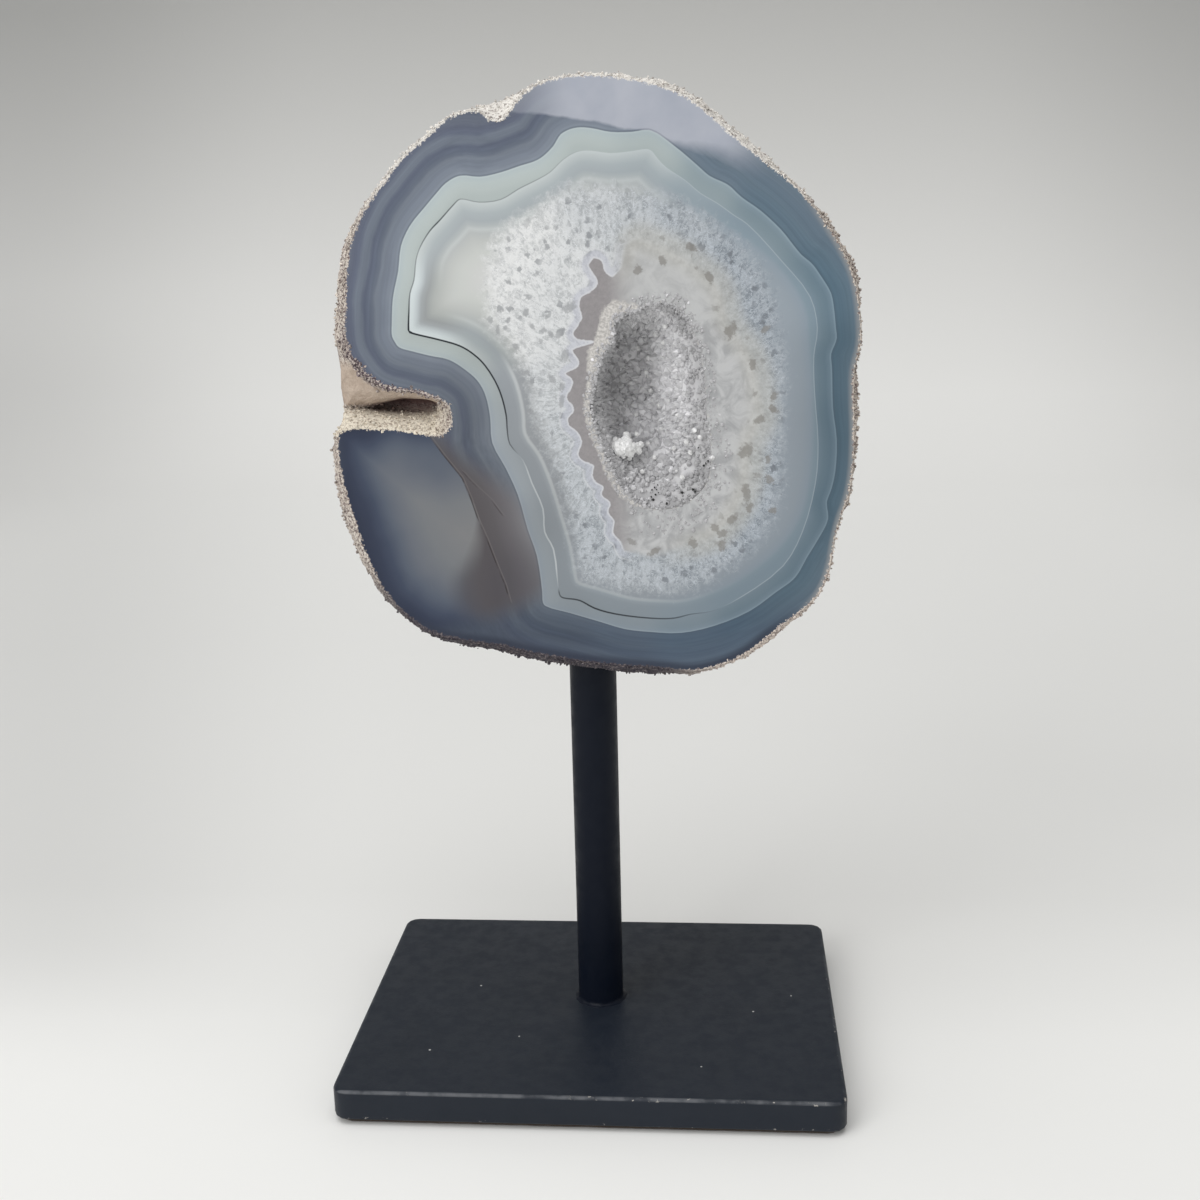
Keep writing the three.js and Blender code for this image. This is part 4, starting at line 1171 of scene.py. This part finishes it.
def makeCrystals():
    # drawn at random all over the crust, each standing on the surface with a little lean
    rng = np.random.default_rng(druse["seed"])
    count = druse["count"]
    u = rng.random(count)
    v = 1 - np.sqrt(1 - rng.random(count) * 0.995)  # fewer towards the small floor
    place = crustSurface(u, v)
    step = 0.01
    alongU = crustSurface(u + step, v) - crustSurface(u - step, v)
    alongV = crustSurface(u, np.clip(v + step, 0, 1)) - crustSurface(u, np.clip(v - step, 0, 1))
    normal = np.cross(alongU, alongV)
    normal /= np.linalg.norm(normal, axis=1)[:, None] + 1e-9
    inward = toFront(place)
    normal *= np.sign((normal * inward).sum(1))[:, None]
    aim = normal + (rng.random((count, 3)) - 0.5) * 1.1
    low, high = druse["radius"]
    radius = low + (high - low) * rng.random(count) ** 2.2
    radius *= np.clip(0.45 + v * 1.2, 0, 1)
    height = radius * (0.2 + rng.random(count) * 1.1)
    spin = rng.random(count) * np.pi
    # a second lot lies low on the face around the mouth, thickest at its right and bottom
    more = druse["rimCount"]
    mouth = loopThrough(mouthStations, 8)
    share = rng.random(more)
    onMouth = alongLoop(mouth, share)
    out = onMouth - mouthCentre
    out /= np.linalg.norm(out, axis=1)[:, None]
    spread = np.where(out[:, 0] < -0.2, 1.9, 2.6 + 3.2 * stepUp(-out[:, 1], -0.2, 0.8))
    gap = (rng.random(more) ** 1.6) * spread - 0.5
    flat = onMouth + out * gap[:, None]
    rimPlace = np.stack([flat[:, 0], np.full(more, druse["onFace"]), flat[:, 1]], -1)
    rimAim = np.stack([(rng.random(more) - 0.5) * 1.4 - out[:, 0] * 0.4,
                       np.full(more, -1.0), (rng.random(more) - 0.5) * 1.4 - out[:, 1] * 0.4], -1)
    rimRadius = 0.16 + 0.34 * rng.random(more) ** 2
    rimHeight = rimRadius * (rng.random(more) * 0.8 - 1.0)
    place = np.vstack([place, rimPlace])
    aim = np.vstack([aim, rimAim])
    radius, height = np.append(radius, rimRadius), np.append(height, rimHeight)
    spin = np.append(spin, rng.random(more) * np.pi)
    # single ones seen in the picture: glinting ones, a white group at the lower left, dark grains
    seen = np.vstack([glints, dustSpots])
    groupCount = druse["groupCount"]
    group = np.array(druse["groupAt"]) + rng.normal(size=(groupCount, 2)) * (1.1, 0.85)
    spots = np.vstack([seen, group])
    front = crustPoints[-druse["rows"] * druse["cols"]:]
    inside = awayFrom(spots, mouth, True)[0] > 0.6
    lower = np.where(np.arange(len(spots)) < len(seen), 0.22, 0.05)
    above = np.where(np.arange(len(spots)) < len(glints), 1.35, 0.35)

    def depthAt(spots):
        nearest = ((spots[:, None] - front[None][:, :, [0, 2]]) ** 2).sum(2).argmin(1)
        return np.where(inside, front[nearest][:, 1] - above, druse["onFace"])

    # deeper ones look higher up, so they are set lower
    spots[:, 1] -= lower * (depthAt(spots) - stone["faceY"])
    depth = depthAt(spots)
    # the white group is a mound on the crust, its middle close to the face
    fromTop = np.linalg.norm((group - druse["groupAt"]) / (1.2, 0.95), axis=1)
    mound = -11.9 + 0.6 * fromTop ** 1.6 + 0.5 * rng.random(groupCount)
    depth[-groupCount:] = np.minimum(depth[-groupCount:], mound)
    spotRadius = np.concatenate([0.3 + 0.34 * rng.random(len(glints)),
                                 0.13 + 0.14 * rng.random(len(dustSpots)),
                                 0.3 + 0.5 * rng.random(groupCount)])
    place = np.vstack([place, np.stack([spots[:, 0], depth, spots[:, 1]], -1)])
    count = len(spots)
    toCamera = np.stack([rng.random(count) - 0.5, np.full(count, -0.8),
                         rng.random(count) - 0.3], -1)
    toCamera[-groupCount:, ::2] *= 1.7
    aim = np.vstack([aim, toCamera])
    radius = np.append(radius, spotRadius)
    height = np.append(height, spotRadius * (rng.random(count) - 0.6))
    spin = np.append(spin, rng.random(count) * np.pi)
    kind = np.zeros(len(place), int)
    kind[-count:] = np.repeat([1, 2, 3], [len(glints), len(dustSpots), groupCount])
    points, faces = crystalMesh(place, aim, radius, height, spin)
    made = makeObject("quartz_points", points, faces, smooth=False)
    return made, place, kind, rng


def crystalToneWithPaintedShade(place, rng, scatter):
    # painted shade and light of the hollow: dark along the upper left wall, lighter to the right
    # and towards the bottom; a few at random are painted near white as painted glints
    x, y, z = place.T
    inside = awayFrom(place[:, [0, 2]], loopThrough(mouthStations, 8), True)[0]
    start = stepUp(inside, 0.0, 1.2 + 4.0 * stepUp(x, 14, 20))
    side = x - 0.2 * (z - 141)
    light = 0.60 + 0.2 * stepUp(side, 5, 11) - 0.05 * stepUp(side, 13, 19)
    lift = np.maximum(stepUp(z, 137, 127), 0.45 * stepUp(z, 147, 156))
    light = light + (0.63 - light) * lift
    under = 0.1 * stepUp(x, 15, 20) + 0.06 * stepUp(z, 130, 122)
    rimLight = 0.56 - under * stepUp(inside, 0.0, 0.8)
    light = rimLight + (light - rimLight) * start
    light = light * (1 + scatter * (rng.random(len(place)) - 0.5))
    # a few crystals at random are painted near white: painted glints
    paintedGlint = rng.random(len(place)) < 0.012
    light = np.where(paintedGlint & (scatter > 0), 0.95, light)
    return np.clip(np.stack([light, light * 0.995, light * 1.02, np.ones(len(place))], -1), 0, 1)


glints = np.array([
    (11, 151.8), (6.3, 133), (13.5, 141.7), (15, 140.7), (16.9, 141.1), (12.3, 147.3),
    (14.6, 153.8), (15.9, 152.3), (22, 134.9), (22.9, 133.6), (20.3, 133.1), (21, 130.8),
    (17.8, 132.1), (15.3, 136), (18.3, 127.3), (25.2, 129.6), (11.6, 127.4), (17, 147.3),
    (12.9, 150.1), (9.2, 145.6), (13.2, 143.6), (10.3, 139.2), (18.6, 138.2), (14.1, 130.4),
    (19.4, 126.1), (12.6, 133.4), (16.4, 154.9), (8.9, 154.6),
])
dustSpots = np.array([
    (14.6, 124.7), (13.6, 123.7), (14.2, 122.7), (13, 121.6), (12.6, 120.8), (13.8, 121.7),
    (14.4, 123.7), (14.1, 124.2), (13.4, 122.3), (18.6, 158.5), (19.1, 158.9), (19.8, 148.5),
    (25.2, 129.4), (23.5, 128.2), (16.7, 122.7), (19.4, 123), (21.5, 123.6), (16.5, 120.9),
    (24.4, 129), (14.8, 123.1), (24, 128.6), (21.8, 123.1), (22.6, 131.6), (5, 142.6),
])
pointsObject, pointPlaces, pointKind, toneRandom = makeCrystals()
tones = crystalToneWithPaintedShade(pointPlaces, toneRandom, 0.16)
# glinting crystals are painted near white, a painted highlight; the dark grains are set nearly
# black and the white group white, their own colours
for kind, tone in ((1, 0.97), (2, 0.02), (3, 0.97)):
    tones[pointKind == kind, :3] = tone
storeNumbers(pointsObject, tone=np.repeat(tones, crystalCorners, 0))
# the crust carries the hollow's painted shade and is painted darker still towards its bottom:
# painted shade
crustToneWithPaintedShade = crystalToneWithPaintedShade(crustPoints, np.random.default_rng(5), 0.0)
crustToneWithPaintedShade[:, :3] *= (1 - 0.3 * stepUp(crustPoints[:, 2], 131, 125))[:, None]
storeNumbers(crustObject, tone=crustToneWithPaintedShade)
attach(pointsObject, "root")
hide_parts("quartz_druse")
print("quartz points made:", len(pointKind))


# ---- crumbs of the rind
crumbs = {
    "count": 7200,
    "edgeCount": 2300,
    "nearSlot": 1000,  # of those along the edge, these lie around the slot
    "size": (0.12, 0.36),
    "front": -13.2,  # they stand out from the face no further than this y
    "seed": 61,
}


def lumpMesh(place, size, rng):
    # twenty-sided lumps, each stretched and turned at random, with uneven corners
    g = (1 + 5**0.5) / 2
    base = np.array([(-1, g, 0), (1, g, 0), (-1, -g, 0), (1, -g, 0), (0, -1, g), (0, 1, g),
                     (0, -1, -g), (0, 1, -g), (g, 0, -1), (g, 0, 1), (-g, 0, -1), (-g, 0, 1)])
    base = base / np.linalg.norm(base[0])
    faces = np.array([(0, 11, 5), (0, 5, 1), (0, 1, 7), (0, 7, 10), (0, 10, 11), (1, 5, 9),
                      (5, 11, 4), (11, 10, 2), (10, 7, 6), (7, 1, 8), (3, 9, 4), (3, 4, 2),
                      (3, 2, 6), (3, 6, 8), (3, 8, 9), (4, 9, 5), (2, 4, 11), (6, 2, 10),
                      (8, 6, 7), (9, 8, 1)])
    count, corners = len(place), len(base)
    stretch = 0.65 + 0.7 * rng.random((count, 1, 3))
    uneven = 1 + 0.35 * (rng.random((count, corners, 1)) - 0.5)
    basis = np.linalg.qr(rng.normal(size=(count, 3, 3)))[0]
    basis *= np.sign(np.linalg.det(basis))[:, None, None]
    shape = base[None] * stretch * uneven * size[:, None, None]
    points = place[:, None] + shape @ basis
    faces = faces[None] + (np.arange(count) * corners)[:, None, None]
    return points.reshape(-1, 3), faces.reshape(-1, 3).tolist()


def makeCrumbs():
    # lumps at places drawn at random from the rind's rings, most of them near the face
    rng = np.random.default_rng(crumbs["seed"])
    cols = stone["around"]
    rings = stonePoints[:rearRows * cols].reshape(rearRows, cols, 3)
    depth = rings[:, 0, 1]
    rowWeight = np.where(depth < -5, 1.0, 0.22) * np.gradient(-depth)
    rowWeight /= rowWeight.sum()
    row = rng.choice(rearRows, crumbs["count"], p=rowWeight)
    col = rng.integers(0, cols, crumbs["count"])
    place = rings[row, col] + (rng.random((crumbs["count"], 3)) - 0.5) * (0.5, 0.6, 0.5)
    upperWall = ((place[:, 0] < -27) & (place[:, 2] > 140.4) & (place[:, 2] < 149.5)
                 & (place[:, 1] > -12.3) & (place[:, 1] < -3))
    place[upperWall] = rings[3, col[upperWall]]
    low, high = crumbs["size"]
    size = low + (high - low) * rng.random(crumbs["count"]) ** 1.8
    size = np.where(depth[row] > -5, size * 1.8, size)
    # a denser line of small ones along the edge of the polished face
    at = rng.random(crumbs["edgeCount"])
    near = crumbs["nearSlot"]
    at[:near] = 0.97 + 0.23 * at[:near]
    edge = alongLoop(faceEdge, np.mod(at, 1))
    slotEdge = (edge[:, 0] < -24) & (edge[:, 1] > 134) & (edge[:, 1] < 152)
    nudge = rng.normal(size=(crumbs["edgeCount"], 2)) * np.where(slotEdge, 0.42, 0.2)[:, None]
    edgePlace = np.stack([edge[:, 0] + nudge[:, 0], -12.9 + 0.25 * rng.random(len(at)),
                          edge[:, 1] + nudge[:, 1]], -1)
    edgeSize = 0.09 + 0.2 * rng.random(len(at)) ** 1.7
    edgeSize *= np.where(slotEdge, 1.7, 1)
    place = np.vstack([place, edgePlace])
    size = np.append(size, edgeSize)
    points, faces = lumpMesh(place, size, rng)
    points[:, 1] = np.maximum(points[:, 1], crumbs["front"])
    made = makeObject("rind_crumbs", points, faces, smooth=False)
    shift = 0.72 + 0.5 * rng.random(len(place))
    storeNumbers(made, shift=np.repeat(shift, len(points) // len(place)))
    return made


crumbObject = makeCrumbs()
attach(crumbObject, "root")
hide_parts("agate_stone")
print("rind crumbs made")


# ---- finishes of the stand
dust = np.array([(-27.5, 5, 0.28), (-34, -22, 0.3), (-16, -16, 0.22), (33.5, -4, 0.26),
                 (42, 3, 0.22), (22.5, -26, 0.22)])


def makePaint(name, deep, light, gloss):
    material, shader = startMaterial(name, Roughness=0.42, IOR=1.5, Specular_IOR_Level=gloss)
    place = placeInMm()
    tone = mix(noise(place, 14, 4), deep, light)
    x, y, z = axes(place)
    # the paint is rubbed thin along the plate's front upper edge and chipped here and there
    sideX = between(absolute(x), 50.1, 50.5)
    sideY = between(absolute(y), 37.1, 37.5)
    rim = calc("MAXIMUM", sideX, sideY)
    edge = times(between(z, 6.9, 7.2), rim)
    worn = times(edge, patches(place, 5, 4, 0.36, 0.6, 0.1, 0.6))
    worn = times(worn, between(y, -36.8, -37.4, 0.25, 1))
    tone = mix(worn, tone, (110, 112, 116))
    chip = patches(place, 1.3, 4, 0.62, 0.66, rough=0.7)
    low = between(z, 2.1, 1.7)
    rims = times(calc("MAXIMUM", between(z, 6.8, 7.1), low), rim)
    rims = times(rims, patches(place, 17, 2, 0.47, 0.56))
    tone = mix(times(chip, rims), tone, (172, 168, 162))
    for spotX, spotY, size in dust.tolist():
        gap = vector("DISTANCE", place, (spotX, spotY, 7.5), out=1)
        tone = mix(between(gap, size * 0.6, size, 0.9, 0), tone, (196, 196, 194))
    feed(shader, {"Base Color": tone})
    rough = patches(place, 3, 5, 0.3, 0.7, 0.38, 0.55)
    feed(shader, {"Roughness": rough})
    bump = add("Bump", {"Height": noise(place, 0.5, 4), "Strength": 0.25, "Distance": 0.0001})
    feed(shader, {"Normal": bump})
    return material


def makeFelt():
    material, shader = startMaterial("felt_brown", Roughness=1.0, Sheen_Weight=0.3)
    place = placeInMm()
    tone = mix(noise(place, 0.35, 5, 0.7), (34, 28, 24), (72, 60, 50))
    feed(shader, {"Base Color": tone})
    bump = add("Bump", {"Height": noise(place, 0.25, 4), "Strength": 0.8, "Distance": 0.0002})
    feed(shader, {"Normal": bump})
    return material


setMaterial(plateObject, makePaint("stand_paint_satin", (26, 32, 41), (32, 38, 48), 0.25))
# the post's paint is a darker copy of the plate's black paint: painted shade on the upright rod
setMaterial(postObject, makePaint("post_paint_painted_shade", (6, 13, 25), (11, 18, 32), 0.16))
setMaterial(padObject, makeFelt())


def makeCrystal(name, through):
    material, shader = startMaterial(name, Roughness=0.18, IOR=1.54, Transmission_Weight=through)
    place = placeInMm()
    tone = add("Attribute", out="Color", attribute_name="tone")
    veil = mix(noise(place, 1.4, 4), (0.9, 0.9, 0.9, 1), (1.08, 1.08, 1.08, 1))
    feed(shader, {"Base Color": tint(tone, veil)})
    return material


setMaterial(crustObject, makeCrystal("quartz_milky", 0.0))
setMaterial(pointsObject, makeCrystal("quartz_clear", 0.2))


def makeCrumbMaterial():
    material, shader = startMaterial("rind_crumb", Roughness=0.8, IOR=1.5)
    place = placeInMm()
    shift = number("shift")
    shade = add("CombineXYZ", {0: shift, 1: shift, 2: shift})
    feed(shader, {"Base Color": tint(rindTone(place), shade)})
    return material


setMaterial(crumbObject, makeCrumbMaterial())
print("finishes set")


# ---- stage and light
def makeStage():
    # floor that turns up into a wall behind in a quarter circle, carried sideways
    turn = np.linspace(0, np.pi / 2, 24)
    profile = [(-4000, 0), (-1500, 0), (-400, 0), (0, 0), (400, 0)]
    profile += [(700 + 600 * math.sin(t), 600 - 600 * math.cos(t)) for t in turn]
    profile += [(1300, 1500), (1300, 3600)]
    y, z = np.array(profile).T
    cols = 41
    x = np.linspace(-4000, 4000, cols)
    points = np.stack([np.repeat(x[None], len(y), 0), np.repeat(y[:, None], cols, 1),
                       np.repeat(z[:, None], cols, 1)], -1).reshape(-1, 3)
    i, j = np.meshgrid(np.arange(len(y) - 1), np.arange(cols - 1), indexing="ij")
    k = (i + 1) * cols + j
    faces = np.stack([i * cols + j, i * cols + j + 1, k + 1, k], -1)
    return makeObject("backdrop", points, faces.reshape(-1, 4).tolist())


stageObject = makeStage()
stageMaterial, shader = startMaterial("paper_backdrop", Roughness=0.9)
place = placeInMm()
x, y, z = axes(place)
# the floor's depth counts a quarter, then the wall's height: the light falls off along it
run = plus(times(y, 0.25), z)
greys = [(0, 238), (18, 227), (80, 231), (172, 243), (275, 240), (448, 221), (621, 199),
         (740, 183)]
paper = bands(run, [(at, (grey, grey, grey - 2)) for at, grey in greys])
# painted shade: the far floor and the wall are painted darker away from the middle
fromMiddle = absolute(plus(x, 60))
paintedSideShade = times(between(y, 60, 700), between(fromMiddle, 300, 620))
paper = mix(paintedSideShade, paper, tint(paper, (0.83, 0.83, 0.83, 1)))
# the left side of the floor lies in a faint shade that widens towards the back
fan = calc("DIVIDE", times(x, -1), calc("MAXIMUM", plus(y, 286), 50))
shade = times(between(fan, 0.2, 0.46), between(y, -30, 40), between(run, 430, 260))
paper = mix(shade, paper, tint(paper, (0.85, 0.85, 0.85, 1)))
feed(shader, {"Base Color": paper})
setMaterial(stageObject, stageMaterial)


def makeLight(name, place, aim, size, watts):
    data = bpy.data.lights.new(name, "AREA")
    data.shape = "RECTANGLE"
    data.size, data.size_y = size[0] * mm, size[1] * mm
    data.energy = watts
    made = bpy.data.objects.new(name, data)
    made.location = Vector(place) * mm
    made.rotation_euler = (Vector(place) - Vector(aim)).to_track_quat("Z", "Y").to_euler()
    scene.collection.objects.link(made)


world = bpy.data.worlds.new("soft_room")
world.use_nodes = True
world.node_tree.nodes["Background"].inputs["Color"].default_value = (1.0, 0.995, 0.985, 1.0)
world.node_tree.nodes["Background"].inputs["Strength"].default_value = 0.5
scene.world = world
makeLight("overhead", (-200, -300, 1700), (0, 100, 50), (1500, 1500), 15)
makeLight("frontLeft", (-900, -1100, 900), (0, 0, 120), (900, 900), 9)
makeLight("window", (-158, -832, 161), (-20, -13, 158), (112, 5), 0.008)
print("stage and lights made")
